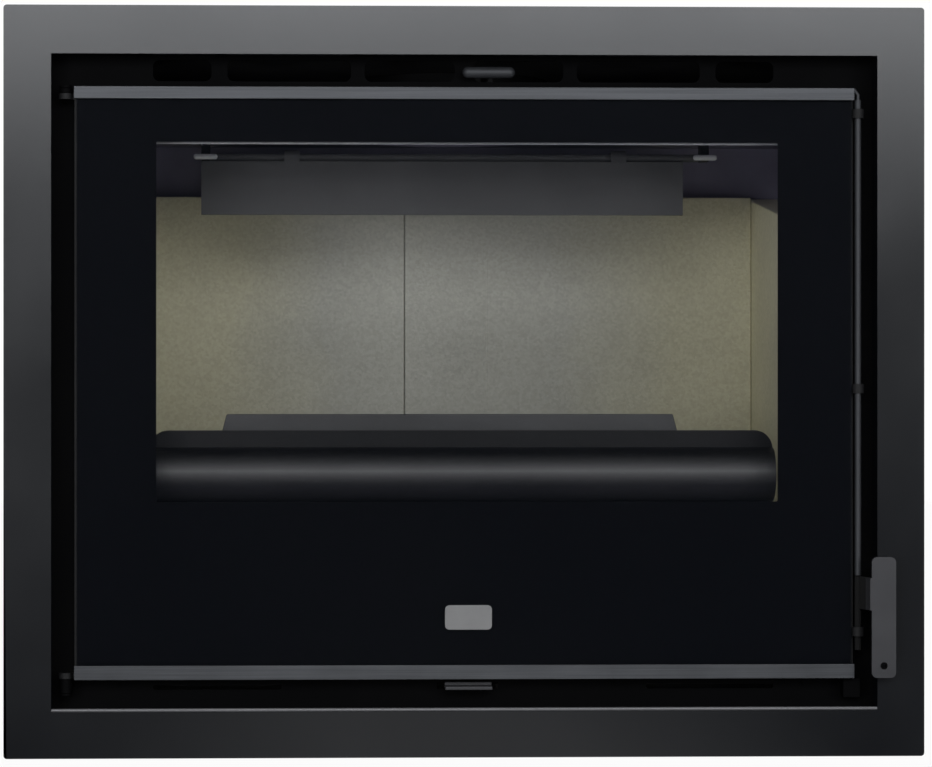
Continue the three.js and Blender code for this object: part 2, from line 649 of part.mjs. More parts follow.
// ---- air controls ------------------------------------------------------------------------------------
function makeTopAirControl() {
  const { x, z, length, radius, setBack, tabThick } = topPull;
  const half = length / 2;
  const profile = new THREE.Shape();
  profile.moveTo(0, -half).absarc(0, -half + radius, radius, -Math.PI / 2, 0);
  profile.lineTo(radius, half - radius).absarc(0, half - radius, radius, 0, Math.PI / 2);
  const arcSteps = 6;
  const knob = new THREE.LatheGeometry(profile.getPoints(arcSteps), FACETS.rod).rotateZ(-Math.PI / 2);
  place("top_air_knob", solid(knob.translate(x, at(setBack), z)), finishes.brightSteel);

  const tabFront = shutter.front + shutter.tabInset;
  const rodEnd = tabFront - SEAT;
  const stem = rodAlong("y", [x, z], topPull.rod, setBack + radius + SEAT, rodEnd, FACETS.wire);
  place("top_air_rod", stem, finishes.brightSteel);

  const low = firebox.high + SEAT;
  const tabHalf = topPull.tabWidth / 2;
  const plate = join(
    box(both(shutter.width / 2), [shutter.front, shutter.front + shutter.depth], [low, low + shutter.sheet]),
    box([x - tabHalf, x + tabHalf], [tabFront, tabFront + tabThick], [low, z + 2 * topPull.rod]),
  );
  place("top_air_shutter", plate, finishes.galvanised);
}

// A lever at the middle of the bottom gap shifts a slotted plate under the firebox floor from side to side.
function makeLowAirControl() {
  const { x, width, z, thick, setBack, pad, lipSheet, stem, lip } = lowPull;
  const { front, depth, sheet } = lowShutter;
  const span = [x - width / 2, x + width / 2];
  const tab = join(
    box(span, [setBack, setBack + pad], [z, z + thick]),
    box(span, [setBack + pad - lipSheet, setBack + pad], [z, z + lip]),
    box([x - stem / 2, x + stem / 2], [setBack, front - sheet - SEAT], [z, z + thick]),
  );
  place("low_air_lever", tab, finishes.satinSteel);
  const half = lowShutter.width / 2;
  const high = firebox.low - SEAT;
  const plate = cut(
    join(
      box([x - half, x + half], [front - sheet, front + depth], [high - sheet, high]),
      box([x - stem / 2, x + stem / 2], [front - sheet, front], [z, high]),
    ),
    ...ventSlots(x, high - sheet - PAST, high + PAST),
  );
  place("low_air_shutter", plate, finishes.galvanised);
}

makeSurround();
makeCasing();
makeSkid("skid_left", -skid.spread);
makeSkid("skid_right", skid.spread);
makeFrontPlate();
makeFirebox();
makeFlueCollar();
makeLining();
makeHearth();
makeGrate();
makeAshPan();
makeLogRetainer();
makeFence();
makeBaffle();
makeBaffleBar();
makeAirwashStrip();
makeDoorFrame();
makeGlass();
makeRail("top_rail", door.high - rail.topHeight, door.high, true);
makeRail("bottom_rail", door.low, door.low + rail.bottomHeight, false);
makeDoorSeal();
makeBadgePlate();
makeHinge("upper");
makeHinge("lower");
makeLatch();
makeDoorRest();
makeGrip();
makeTopAirControl();
makeLowAirControl();

export default insert;
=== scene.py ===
"""Finishes, rounded edges and fine pieces for a built-in fireplace insert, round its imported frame.

Metres, +Z up, +X right, +Y into the wall.
"""

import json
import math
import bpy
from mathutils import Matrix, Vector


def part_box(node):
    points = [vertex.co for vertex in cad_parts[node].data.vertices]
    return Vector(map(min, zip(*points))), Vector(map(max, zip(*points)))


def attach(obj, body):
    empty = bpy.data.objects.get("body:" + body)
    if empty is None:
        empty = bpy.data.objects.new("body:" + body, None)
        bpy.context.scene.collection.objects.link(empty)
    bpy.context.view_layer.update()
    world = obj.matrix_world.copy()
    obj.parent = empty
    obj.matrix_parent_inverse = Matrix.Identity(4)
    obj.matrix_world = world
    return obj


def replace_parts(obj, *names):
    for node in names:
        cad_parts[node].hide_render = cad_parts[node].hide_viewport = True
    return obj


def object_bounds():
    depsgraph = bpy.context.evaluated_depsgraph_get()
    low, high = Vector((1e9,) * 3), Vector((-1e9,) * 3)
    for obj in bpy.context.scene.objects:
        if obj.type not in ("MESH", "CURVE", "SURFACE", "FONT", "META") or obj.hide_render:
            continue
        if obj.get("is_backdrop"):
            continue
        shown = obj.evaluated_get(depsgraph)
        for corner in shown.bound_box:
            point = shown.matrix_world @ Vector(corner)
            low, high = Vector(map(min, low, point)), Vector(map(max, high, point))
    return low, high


bl_info = {
    "name": "Fireplace insert finishes",
    "version": (1, 0, 0),
    "blender": (4, 5, 0),
    "location": "3D View > Sidebar > Insert",
    "description": "Dresses the frame of a built-in fireplace insert",
    "category": "Object",
}

import bmesh
import bpy
import numpy as np
from bpy.props import FloatProperty, FloatVectorProperty, IntProperty, PointerProperty
from mathutils import Matrix, Vector

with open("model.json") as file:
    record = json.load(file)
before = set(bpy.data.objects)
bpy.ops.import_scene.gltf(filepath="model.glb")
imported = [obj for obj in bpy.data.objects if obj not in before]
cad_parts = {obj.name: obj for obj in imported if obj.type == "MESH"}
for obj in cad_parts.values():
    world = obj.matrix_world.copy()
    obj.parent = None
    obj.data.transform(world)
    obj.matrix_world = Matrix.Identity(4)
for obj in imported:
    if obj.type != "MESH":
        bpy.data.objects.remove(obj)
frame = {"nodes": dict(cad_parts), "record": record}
CAD_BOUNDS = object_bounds()
NODES = frame["nodes"]
RECORD = frame["record"]
BODY = {n: body for body, names in RECORD["behaviour"]["bodies"].items() for n in names}
SLOT = {row["node"]: row["material_slot"] for row in RECORD["subparts"]}
MM = 0.001
BEVEL_WEIGHT = "bevel_weight_edge"
ZINC_METALLIC = 0.85
PAINTED_HEAD_LIGHT, PAINTED_SIDE_LIGHT = 1.14, 1.27  # gain of the boards' tone as painted light: at the head against the baffle's shade, on the side boards against their shade
HIGHLIGHT_REACH = 15 * MM  # half height of the painted highlight band on the log guard's roll
SHADED_SLEEVE_WIDTH = 7 * MM  # part of the grip round the latch rod that is painted black as painted shade
MADE = {}  # this script's own materials by name; the frame brings others under the same names


# ---- settings ------------------------------------------------------------------------------------
def colour(name, description, default):
    return FloatVectorProperty(
        name=name, description=description, default=default, subtype="COLOR", size=3, min=0, max=1
    )


def length(name, description, default):
    return FloatProperty(name=name, description=description, default=default, unit="LENGTH", min=0)


class InsertFinishes(bpy.types.PropertyGroup):
    """Base colours of the insert's finishes."""

    surround_paint: colour("Surround paint", "Satin anthracite paint", (0.0022, 0.0028, 0.0042))
    stove_paint: colour("Stove paint", "Matt black heat-proof paint", (0.006, 0.006, 0.0065))
    # painted shade: a black darker than the stove's paint, for the front plate in the shadow gap and
    # the parts deep in shade
    painted_shade_black: colour("Front plate", "Black paint in the shadow gap", (0.0008, 0.0008, 0.0010))
    # painted light: a pale tone on the chamber's dark steel, standing in for light
    chamber_steel_painted_light: colour("Fire chamber", "Steel over the boards", (0.325, 0.305, 0.405))
    guard_iron: colour("Inner guard", "Heat-greyed iron", (0.115, 0.115, 0.118))
    strip_steel: colour("Air-wash strip", "Bright sheet over the glass", (0.78, 0.80, 0.84))
    rod_steel: colour("Latch rod", "Satin rod", (0.028, 0.0295, 0.033))
    grip_steel: colour("Grip", "Satin grip and lever", (0.027, 0.027, 0.030))
    # painted highlight: a pale strip on the surround's lower inner fold
    sill_highlight_steel: colour("Sill edge", "Bare rolled edge under the opening", (0.10, 0.10, 0.105))
    satin_steel: colour("Satin steel", "Rails", (0.069, 0.0715, 0.0765))
    bright_steel: colour("Bright steel", "Zinc-plated pins and knob", (0.24, 0.24, 0.25))
    galvanised: colour("Galvanised sheet", "Casing and slide plates", (0.30, 0.31, 0.32))
    cast_iron: colour("Cast iron", "Grate and log guard", (0.010, 0.010, 0.012))
    guard_low: colour("Log guard", "Sooty rolled iron", (0.0165, 0.0165, 0.0195))
    # painted highlight: the pale tone on the crown of the guard's roll
    guard_highlight: colour("Guard's crown", "Iron rubbed by the logs", (0.15, 0.15, 0.153))
    baffle_steel: colour("Baffle steel", "Heat-greyed plate", (0.095, 0.095, 0.098))
    vermiculite: colour("Vermiculite", "Pressed lining boards", (0.75, 0.72, 0.545))
    # painted reflection: the greyer tone in the boards' middle stands in for the lamps' reflection
    # in the glass
    painted_reflection_grey: colour("Heated board", "Greyer tone where the fire has been", (0.60, 0.595, 0.53))
    # painted light: the grey tone made paler still at the boards' head, against the shade under the
    # baffle
    painted_reflection_grey_head_light: colour("Heated board's head", "Paler tone under the baffle", (0.76, 0.755, 0.685))
    print_black: colour("Glass print", "Black enamel on the glass", (0.0036, 0.0038, 0.0052))
    rope: colour("Rope seal", "Knitted glass rope", (0.05, 0.048, 0.044))
    badge: colour("Blank plate", "Small bare plate on the glass", (0.152, 0.152, 0.152))


class InsertSizes(bpy.types.PropertyGroup):
    """Sizes of the fine work."""

    sheet_round: length("Sheet edge", "Rounding of cut and folded sheet edges", 0.6 * MM)
    fold_round: length("Inner fold", "Bend radius round the surround's opening", 2.4 * MM)
    # the sill sizes place the painted highlight strip on the surround's lower inner fold
    sill_rise: length("Sill rise", "Height of the bare edge under the opening", 39.9 * MM)
    sill_half: length("Sill half length", "Half length of the bare edge", 360 * MM)
    sill_thick: length("Sill thickness", "Thickness of the bare edge", 3.2 * MM)
    brick_round: length("Brick edge", "Worn rounding of the lining boards", 1.6 * MM)
    # places the painted highlight on the guard's roll
    crown_drop: length("Crown drop", "How far the roll's rubbed crown is under its top", 35.5 * MM)
    iron_round: length("Cast edge", "Rounding of cast edges", 1.2 * MM)
    glass_round: length("Glass edge", "Ground edge of the pane", 0.5 * MM)
    window_left: length("Window left", "Clear window, left of the middle", 268.5 * MM)
    window_right: length("Window right", "Clear window, right of the middle", 273 * MM)
    window_low: length("Window foot", "Height of the window's lower edge", 221.5 * MM)
    window_high: length("Window head", "Height of the window's upper edge", 534.5 * MM)
    clip_radius: length("Clip", "Radius of the clip at each end of the baffle's bar", 2.6 * MM)
    bolt_head: length("Bolt head", "Radius of the front plate's bolt heads", 4.6 * MM)
    flue_radius: length("Flue", "Outer radius of the flue collar", 90 * MM)
    screw_head: length("Screw head", "Radius of the casing's screw heads", 3.4 * MM)
    rope_rib: length("Rope rib", "Height of a ridge of the rope seal", 0.55 * MM)
    rope_strands: IntProperty(name="Rope strands", description="Ridges round it", default=7, min=3)


def finishes():
    return bpy.context.scene.insert_finishes


def sizes():
    return bpy.context.scene.insert_sizes


# ---- node trees ----------------------------------------------------------------------------------
def add(tree, kind, inputs=None, **settings):
    """Adds a node, sets its properties and fills its inputs with values or links from sockets."""
    node = tree.nodes.new(kind)
    for name, value in settings.items():
        setattr(node, name, value)
    for name, value in (inputs or {}).items():
        if isinstance(value, bpy.types.NodeSocket):
            tree.links.new(value, node.inputs[name])
        else:
            node.inputs[name].default_value = value
    return node


def new_group(name, inputs, outputs):
    """An empty shader node group; inputs and outputs are rows of (name, socket kind, default)."""
    tree = bpy.data.node_groups.new(name, "ShaderNodeTree")
    for label, kind, default in inputs:
        socket = tree.interface.new_socket(label, in_out="INPUT", socket_type=kind)
        if default is not None:
            socket.default_value = default
    for label, kind in outputs:
        tree.interface.new_socket(label, in_out="OUTPUT", socket_type=kind)
    return tree, tree.nodes.new("NodeGroupInput").outputs, tree.nodes.new("NodeGroupOutput").inputs


def mixed(tree, factor, low, high):
    node = add(tree, "ShaderNodeMix", {"Factor": factor}, data_type="RGBA")
    for name, value in (("A", low), ("B", high)):
        socket = [s for s in node.inputs if s.name == name and s.type == "RGBA"][0]
        if isinstance(value, bpy.types.NodeSocket):
            tree.links.new(value, socket)
        else:
            socket.default_value = value
    return [s for s in node.outputs if s.type == "RGBA"][0]


def computed(tree, operation, *terms, **settings):
    """The result of one math node on values or sockets."""
    given = dict(enumerate(terms))
    return add(tree, "ShaderNodeMath", given, operation=operation, **settings).outputs[0]


def scaled(tree, vector, factor):
    """A vector or colour times a number."""
    given = {0: vector, "Scale": factor}
    return add(tree, "ShaderNodeVectorMath", given, operation="SCALE").outputs["Vector"]


def axes(tree, vector):
    """The X, Y and Z sockets of a vector."""
    return add(tree, "ShaderNodeSeparateXYZ", {"Vector": vector}).outputs


def ranged(tree, value, low, high, to_low, to_high):
    return add(tree, "ShaderNodeMapRange", {
        "Value": value, "From Min": low, "From Max": high, "To Min": to_low, "To Max": to_high,
    }).outputs["Result"]


def object_coords(tree, scale=(1, 1, 1)):
    coords = add(tree, "ShaderNodeTexCoord").outputs["Object"]
    return add(tree, "ShaderNodeMapping", {"Vector": coords, "Scale": scale}).outputs["Vector"]


def build_mottle_group():
    """Broad, cloudy change of tone: the handled, heated look of a painted or rolled surface."""
    tree, given, out = new_group(
        "Mottle",
        [("Vector", "NodeSocketVector", None), ("Colour", "NodeSocketColor", None),
         ("Patch size", "NodeSocketFloat", 12.0), ("Strength", "NodeSocketFloat", 0.2),
         ("Roughness", "NodeSocketFloat", 0.5)],
        [("Colour", "NodeSocketColor"), ("Roughness", "NodeSocketFloat")],
    )
    noise = add(tree, "ShaderNodeTexNoise", {
        "Vector": given["Vector"], "Scale": given["Patch size"], "Detail": 4.0, "Roughness": 0.6,
    })
    tone = ranged(tree, noise.outputs["Fac"], 0.3, 0.7, -1.0, 1.0)
    swing = computed(tree, "MULTIPLY", tone, given["Strength"])
    gain = computed(tree, "ADD", swing, 1.0)
    tree.links.new(scaled(tree, given["Colour"], gain), out["Colour"])
    rough = computed(tree, "MULTIPLY", swing, 0.35)
    total = computed(tree, "ADD", rough, given["Roughness"], use_clamp=True)
    tree.links.new(total, out["Roughness"])
    return tree


def build_grain_group():
    """Fine height for a bump: paint texture, casting skin or board grain."""
    tree, given, out = new_group(
        "Grain",
        [("Vector", "NodeSocketVector", None), ("Fineness", "NodeSocketFloat", 900.0),
         ("Coarse", "NodeSocketFloat", 0.0)],
        [("Height", "NodeSocketFloat")],
    )
    fine = add(tree, "ShaderNodeTexNoise", {
        "Vector": given["Vector"], "Scale": given["Fineness"], "Detail": 3.0,
    }).outputs["Fac"]
    low = computed(tree, "MULTIPLY", given["Fineness"], 0.12)
    broad = add(tree, "ShaderNodeTexNoise", {
        "Vector": given["Vector"], "Scale": low, "Detail": 2.0,
    })
    weighed = computed(tree, "MULTIPLY", broad.outputs["Fac"], given["Coarse"])
    tree.links.new(computed(tree, "ADD", fine, weighed), out["Height"])
    return tree


def group(tree, name, **inputs):
    node = tree.nodes.new("ShaderNodeGroup")
    node.node_tree = bpy.data.node_groups[name]
    for label, value in inputs.items():
        socket = node.inputs[label.replace("_", " ")]
        if isinstance(value, bpy.types.NodeSocket):
            tree.links.new(value, socket)
        else:
            socket.default_value = value
    return node.outputs


def bumped(tree, height, strength, distance):
    return add(tree, "ShaderNodeBump", {
        "Height": height, "Strength": strength, "Distance": distance,
    }).outputs["Normal"]


def start_material(name, **plain):
    """A new material's tree and its shader's sockets, on which the plain values go."""
    material = MADE[name] = bpy.data.materials.new(f"insert {name}")
    material.use_nodes = True
    shader = material.node_tree.nodes["Principled BSDF"]
    for label, value in plain.items():
        shader.inputs[label.replace("_", " ")].default_value = value
    return material.node_tree, shader.inputs


def rgba(colour_value):
    return (*colour_value, 1.0)


def painted(name, tone, roughness, specular, fineness=700.0, patch=9.0, strength=0.16, bump=0.25,
            shade_left_of=None, **plain):
    """Paint or bare metal with cloudy tone, uneven gloss and a fine skin; painted shade black left
    of an X.
    """
    tree, shader = start_material(name, Specular_IOR_Level=specular, **plain)
    where = object_coords(tree)
    mottle = group(
        tree, "Mottle", Vector=where, Colour=rgba(tone), Patch_size=patch, Strength=strength,
        Roughness=roughness,
    )
    skin, gloss = mottle["Colour"], mottle["Roughness"]
    # painted shade: black left of the given X
    if shade_left_of is not None:
        side = computed(tree, "LESS_THAN", axes(tree, where)["X"], shade_left_of)
        skin = mixed(tree, side, skin, rgba(finishes().painted_shade_black))
        gloss = ranged(tree, side, 0.0, 1.0, gloss, 0.9)
    tree.links.new(skin, shader["Base Color"])
    tree.links.new(gloss, shader["Roughness"])
    height = group(tree, "Grain", Vector=where, Fineness=fineness, Coarse=0.6)["Height"]
    tree.links.new(bumped(tree, height, bump, 0.1 * MM), shader["Normal"])
    return tree, shader


def brushed(name, tone, roughness, stretch):
    """Metal with a brushed grain along one axis: stretch is large across the strokes."""
    tree, shader = start_material(name, Metallic=1.0)
    where = object_coords(tree)
    strokes = object_coords(tree, stretch)
    lines = add(tree, "ShaderNodeTexNoise", {"Vector": strokes, "Scale": 1.0, "Detail": 3.0})
    lines = lines.outputs["Fac"]
    mottle = group(
        tree, "Mottle", Vector=where, Colour=rgba(tone), Patch_size=18.0, Strength=0.1,
        Roughness=roughness,
    )
    bright = ranged(tree, lines, 0.35, 0.65, 0.0, 1.0)
    toned = mixed(tree, bright, scaled(tree, mottle["Colour"], 0.78), mottle["Colour"])
    tree.links.new(toned, shader["Base Color"])
    tree.links.new(mottle["Roughness"], shader["Roughness"])
    tree.links.new(bumped(tree, lines, 0.2, 0.05 * MM), shader["Normal"])


def vermiculite_board():
    """Pressed board: flakes and pits, greyer in the middle as a painted reflection of the lamps in
    the glass, paler at the head and on the sides as painted light.
    """
    tree, shader = start_material("vermiculite", Specular_IOR_Level=0.1, Roughness=0.93)
    where = object_coords(tree)
    flakes = add(tree, "ShaderNodeTexVoronoi", {"Vector": where, "Scale": 420.0, "Randomness": 1.0})
    flakes = add(tree, "ShaderNodeSeparateColor", {"Color": flakes.outputs["Color"]})
    fleck = ranged(tree, flakes.outputs[0], 0.0, 1.0, -0.08, 0.08)
    clouds = add(tree, "ShaderNodeTexNoise", {"Vector": where, "Scale": 7.0, "Detail": 5.0})
    cloud = ranged(tree, clouds.outputs["Fac"], 0.3, 0.7, -0.05, 0.05)
    gain = computed(tree, "ADD", computed(tree, "ADD", fleck, cloud), 1.0)
    place = axes(tree, where)
    off_centre = computed(tree, "ABSOLUTE", place["X"])
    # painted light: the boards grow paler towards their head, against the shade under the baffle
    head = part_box("back_brick_centre")[1].z
    head_light_mask = ranged(tree, place["Z"], head - 150 * MM, head - 20 * MM, 0.0, 1.0)
    head_light_gain = ranged(tree, head_light_mask, 0.0, 1.0, 1.0, PAINTED_HEAD_LIGHT)
    # painted light: the side boards are paler, against the shade on them
    side_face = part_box("side_brick_right")[0].x
    side_light_gain = ranged(tree, off_centre, side_face - 1 * MM, side_face, 1.0, PAINTED_SIDE_LIGHT)
    for share in (head_light_gain, side_light_gain):
        gain = computed(tree, "MULTIPLY", gain, share)
    # painted reflection: greyer boards near the middle, where the lamps show in the glass
    drift = computed(tree, "MULTIPLY_ADD", cloud, 0.5, off_centre)
    painted_reflection_mask = ranged(tree, drift, 0.11, 0.21, 1.0, 0.0)
    painted_reflection_tone = mixed(tree, head_light_mask, rgba(finishes().painted_reflection_grey), rgba(finishes().painted_reflection_grey_head_light))
    toned = mixed(tree, painted_reflection_mask, rgba(finishes().vermiculite), painted_reflection_tone)
    tree.links.new(scaled(tree, toned, gain), shader["Base Color"])
    pits = group(tree, "Grain", Vector=where, Fineness=520.0, Coarse=1.2)["Height"]
    tree.links.new(bumped(tree, pits, 0.55, 0.4 * MM), shader["Normal"])


def guard_with_painted_highlight():
    """Rolled iron guard: sooty iron with a painted highlight on the crown of its roll, painted shade
    above the crown and painted light below it.
    """
    tones = finishes()
    tree, shader = painted("log_guard", tones.guard_low, 0.45, 0.3, 1100.0, 14.0, 0.08, 0.3)
    height = axes(tree, object_coords(tree))["Z"]
    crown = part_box("log_retainer")[1].z - sizes().crown_drop
    away = computed(tree, "ABSOLUTE", computed(tree, "SUBTRACT", height, crown))
    # painted highlight along the crown of the roll
    painted_highlight = ranged(tree, away, 0.0, HIGHLIGHT_REACH, 1.0, 0.0)
    painted_highlight = computed(tree, "MULTIPLY", painted_highlight, painted_highlight)
    # painted shade above the crown, painted light below it
    painted_light_and_shade = ranged(tree, height, crown - HIGHLIGHT_REACH, crown + HIGHLIGHT_REACH, 1.7, 0.3)
    shaded_iron = scaled(tree, shader["Base Color"].links[0].from_socket, painted_light_and_shade)
    tree.links.new(mixed(tree, painted_highlight, shaded_iron, rgba(tones.guard_highlight)), shader["Base Color"])


def clear_glass():
    """Ceramic glass: a thin dark tint that lets the fire chamber show."""
    tree, shader = start_material(
        "ceramic_glass", Base_Color=(0.004, 0.005, 0.007, 1.0), Specular_IOR_Level=0.04,
    )
    where = object_coords(tree)
    smear = add(tree, "ShaderNodeTexNoise", {"Vector": where, "Scale": 6.0, "Detail": 3.0})
    smear = smear.outputs["Fac"]
    tree.links.new(ranged(tree, smear, 0.3, 0.7, 0.03, 0.09), shader["Roughness"])
    tree.links.new(ranged(tree, smear, 0.3, 0.7, 0.2, 0.24), shader["Alpha"])


def inside_mask(tree, where, node):
    """1 on the inner faces of a closed sheet box, 0 on its outer faces."""
    low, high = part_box(node)
    skin = Vector((1, 1, 1)) * MM
    share = where
    middle, half = (low + high) / 2, (high - low) / 2 - skin
    for operation, given in (("SUBTRACT", {1: middle}), ("DIVIDE", {1: half}), ("ABSOLUTE", {})):
        step = add(tree, "ShaderNodeVectorMath", {0: share, **given}, operation=operation)
        share = step.outputs["Vector"]
    across, along, up = (axes(tree, share)[name] for name in "XYZ")
    most = computed(tree, "MAXIMUM", computed(tree, "MAXIMUM", across, along), up)
    return computed(tree, "LESS_THAN", most, 1.0)


def galvanised_sheet(name, shaded_inside_of=None):
    """Zinc spangle: patches that differ in tone and gloss; painted shade black and matt inside a
    closed box.
    """
    tree, shader = start_material(name, Metallic=ZINC_METALLIC)
    where = object_coords(tree)
    spangle = add(tree, "ShaderNodeTexVoronoi", {"Vector": where, "Scale": 95.0, "Randomness": 1.0})
    shade = add(tree, "ShaderNodeSeparateColor", {"Color": spangle.outputs["Color"]}).outputs[0]
    base = scaled(tree, finishes().galvanised, ranged(tree, shade, 0.0, 1.0, 0.82, 1.12))
    mottle = group(
        tree, "Mottle", Vector=where, Colour=base, Patch_size=4.0, Strength=0.08, Roughness=0.42,
    )
    skin, gloss = mottle["Colour"], ranged(tree, shade, 0.0, 1.0, 0.34, 0.52)
    if shaded_inside_of:
        # painted shade: the box's inner faces are black
        inside = inside_mask(tree, where, shaded_inside_of)
        skin = mixed(tree, inside, skin, rgba(finishes().painted_shade_black))
        gloss = ranged(tree, inside, 0.0, 1.0, gloss, 1.0)
        tree.links.new(ranged(tree, inside, 0.0, 1.0, ZINC_METALLIC, 0.0), shader["Metallic"])
    tree.links.new(skin, shader["Base Color"])
    tree.links.new(gloss, shader["Roughness"])
    height = group(tree, "Grain", Vector=where, Fineness=300.0, Coarse=0.5)["Height"]
    tree.links.new(bumped(tree, height, 0.12, 0.1 * MM), shader["Normal"])


def knitted_rope():
    """Fibre rope: dark soot in the hollows and a fine thread across the ridges."""
    tree, shader = start_material("glass_rope", Specular_IOR_Level=0.15, Roughness=0.95)
    where = object_coords(tree)
    threads = add(tree, "ShaderNodeTexNoise", {"Vector": where, "Scale": 1500.0, "Detail": 2.0})
    mottle = group(
        tree, "Mottle", Vector=where, Colour=rgba(finishes().rope), Patch_size=60.0, Strength=0.35,
        Roughness=0.9,
    )
    tree.links.new(mottle["Colour"], shader["Base Color"])
    tree.links.new(bumped(tree, threads.outputs["Fac"], 0.8, 0.3 * MM), shader["Normal"])


def build_materials():
    build_mottle_group()
    build_grain_group()
    tones = finishes()
    painted("surround_paint", tones.surround_paint, 0.228, 0.5, 1500.0, 6.0, 0.06, 0.1)
    painted("black_steel", tones.stove_paint, 0.6, 0.18, 900.0, 9.0, 0.18, 0.35)
    # painted shade black for the parts in deep shade
    painted("painted_shade_black", tones.painted_shade_black, 0.7, 0.04, 900.0, 9.0, 0.18, 0.3)
    painted("guard_iron", tones.guard_iron, 0.6, 0.25, 800.0, 14.0, 0.12, 0.3)
    painted("strip_steel", tones.strip_steel, 0.45, 0.5, 900.0, 20.0, 0.1, 0.2, Metallic=0.3)
    painted("baffle_steel", tones.baffle_steel, 0.55, 0.3, 500.0, 16.0, 0.12, 0.3)
    painted("print_black", tones.print_black, 0.4, 0.02, 900.0, 5.0, 0.06, 0.02)
    painted("badge_metal", tones.badge, 0.5, 0.3, 1600.0, 40.0, 0.06, 0.2, Metallic=0.3)
    brushed("satin_steel", tones.satin_steel, 0.5, (9.0, 900.0, 900.0))
    # painted shade: the grip is black round the latch rod
    sleeve_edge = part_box("door_grip")[0].x + SHADED_SLEEVE_WIDTH
    painted("grip_steel", tones.grip_steel, 0.42, 0.42, 1100.0, 22.0, 0.1, 0.15, sleeve_edge,
            Metallic=0.25)
    painted("rod_steel", tones.rod_steel, 0.52, 0.4, 1200.0, 30.0, 0.08, 0.15, Metallic=0.4)
    painted("lever_steel", tones.grip_steel, 0.42, 0.42, 1100.0, 22.0, 0.1, 0.15, Metallic=0.25)
    # painted highlight on the surround's lower inner fold
    painted("sill_highlight_steel", tones.sill_highlight_steel, 0.4, 0.5, 1100.0, 22.0, 0.1, 0.15, Metallic=0.3)
    # painted light on the chamber's dark steel
    painted("chamber_steel_painted_light", tones.chamber_steel_painted_light, 0.7, 0.15, 700.0, 10.0, 0.2, 0.35)
    brushed("bright_steel", tones.bright_steel, 0.28, (60.0, 500.0, 500.0))
    vermiculite_board()
    painted("cast_iron", tones.cast_iron, 0.4, 0.62, 1100.0, 14.0, 0.08, 0.3)
    guard_with_painted_highlight()
    clear_glass()
    galvanised_sheet("galvanised")
    # painted shade inside the casing
    galvanised_sheet("casing_sheet", shaded_inside_of="casing_shell")
    knitted_rope()


def material_named(name):
    if not MADE:
        build_materials()
    return MADE[name]


# ---- meshes --------------------------------------------------------------------------------------
def mesh_from(work, name):
    """Turns a finished bmesh into a new mesh."""
    mesh = bpy.data.meshes.new(name)
    work.to_mesh(mesh)
    work.free()
    return mesh


def new_piece(name, mesh, material, body, slot):
    """Links a finished mesh as a piece of the insert that rides on a body."""
    piece = bpy.data.objects.new(name, mesh)
    bpy.context.scene.collection.objects.link(piece)
    mesh.materials.clear()
    mesh.materials.append(material_named(material))
    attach(piece, body)
    return piece


def merged_copy(node):
    """A copy of a node's loose triangles as one welded mesh with its flat faces joined up."""
    work = bmesh.new()
    work.from_mesh(NODES[node].data)
    bmesh.ops.remove_doubles(work, verts=work.verts, dist=0.01 * MM)
    bmesh.ops.dissolve_limit(
        work, angle_limit=math.radians(0.3), verts=work.verts, edges=work.edges, delimit={"NORMAL"}
    )
    return mesh_from(work, node)


def weigh_edges(mesh, weight_of, degrees=40):
    """Gives each edge that turns more than the angle the bevel weight from weight_of(edge)."""
    work = bmesh.new()
    work.from_mesh(mesh)
    layer = work.edges.layers.float.new(BEVEL_WEIGHT)
    for edge in work.edges:
        if len(edge.link_faces) == 2 and edge.calc_face_angle() > math.radians(degrees):
            edge[layer] = weight_of(edge)
    work.to_mesh(mesh)
    work.free()


def evaluated_mesh(holder, name):
    """The plain mesh of an object with its modifiers applied."""
    graph = bpy.context.evaluated_depsgraph_get()
    graph.update()
    mesh = bpy.data.meshes.new_from_object(holder.evaluated_get(graph))
    mesh.name = name
    bpy.data.objects.remove(holder)
    return mesh


def held(mesh):
    """A scene object that carries a mesh while its modifiers run."""
    holder = bpy.data.objects.new(mesh.name, mesh)
    bpy.context.scene.collection.objects.link(holder)
    return holder


def shaded(mesh, degrees=35):
    """Smooth shading whose normals follow the large faces, which stay flat beside a rounding."""
    mesh.shade_smooth()
    mesh.set_sharp_from_angle(angle=math.radians(degrees))
    holder = held(mesh)
    weighting = holder.modifiers.new("normals", "WEIGHTED_NORMAL")
    weighting.mode = "FACE_AREA"
    weighting.weight = 100
    weighting.keep_sharp = True
    return evaluated_mesh(holder, mesh.name)


def rounded(mesh, width, segments=2, degrees=40):
    """Rounds each edge that turns more than the angle, or the weighted edges if there are any."""
    holder = held(mesh)
    bevel = holder.modifiers.new("edges", "BEVEL")
    bevel.width = width
    bevel.segments = segments
    bevel.limit_method = "WEIGHT" if BEVEL_WEIGHT in mesh.attributes else "ANGLE"
    bevel.angle_limit = math.radians(degrees)
    return evaluated_mesh(holder, mesh.name)


def dressed(node, material, width, segments=2, degrees=40):
    """Stands in for a node: the same solid with rounded edges and its finish."""
    mesh = shaded(rounded(merged_copy(node), width, segments, degrees))
    piece = new_piece(f"{node}_finish", mesh, material, BODY[node], SLOT[node])
    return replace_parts(piece, node)


def add_block(name, low, high, width, material, body, slot):
    """A plain block between two corners, its edges rounded."""
    work = bmesh.new()
    bmesh.ops.create_cube(work, size=1.0)
    for vert in work.verts:
        vert.co = Vector(a + (b - a) * (share + 0.5) for a, b, share in zip(low, high, vert.co))
    mesh = shaded(rounded(mesh_from(work, name), width, 4), 60)
    return new_piece(name, mesh, material, body, slot)


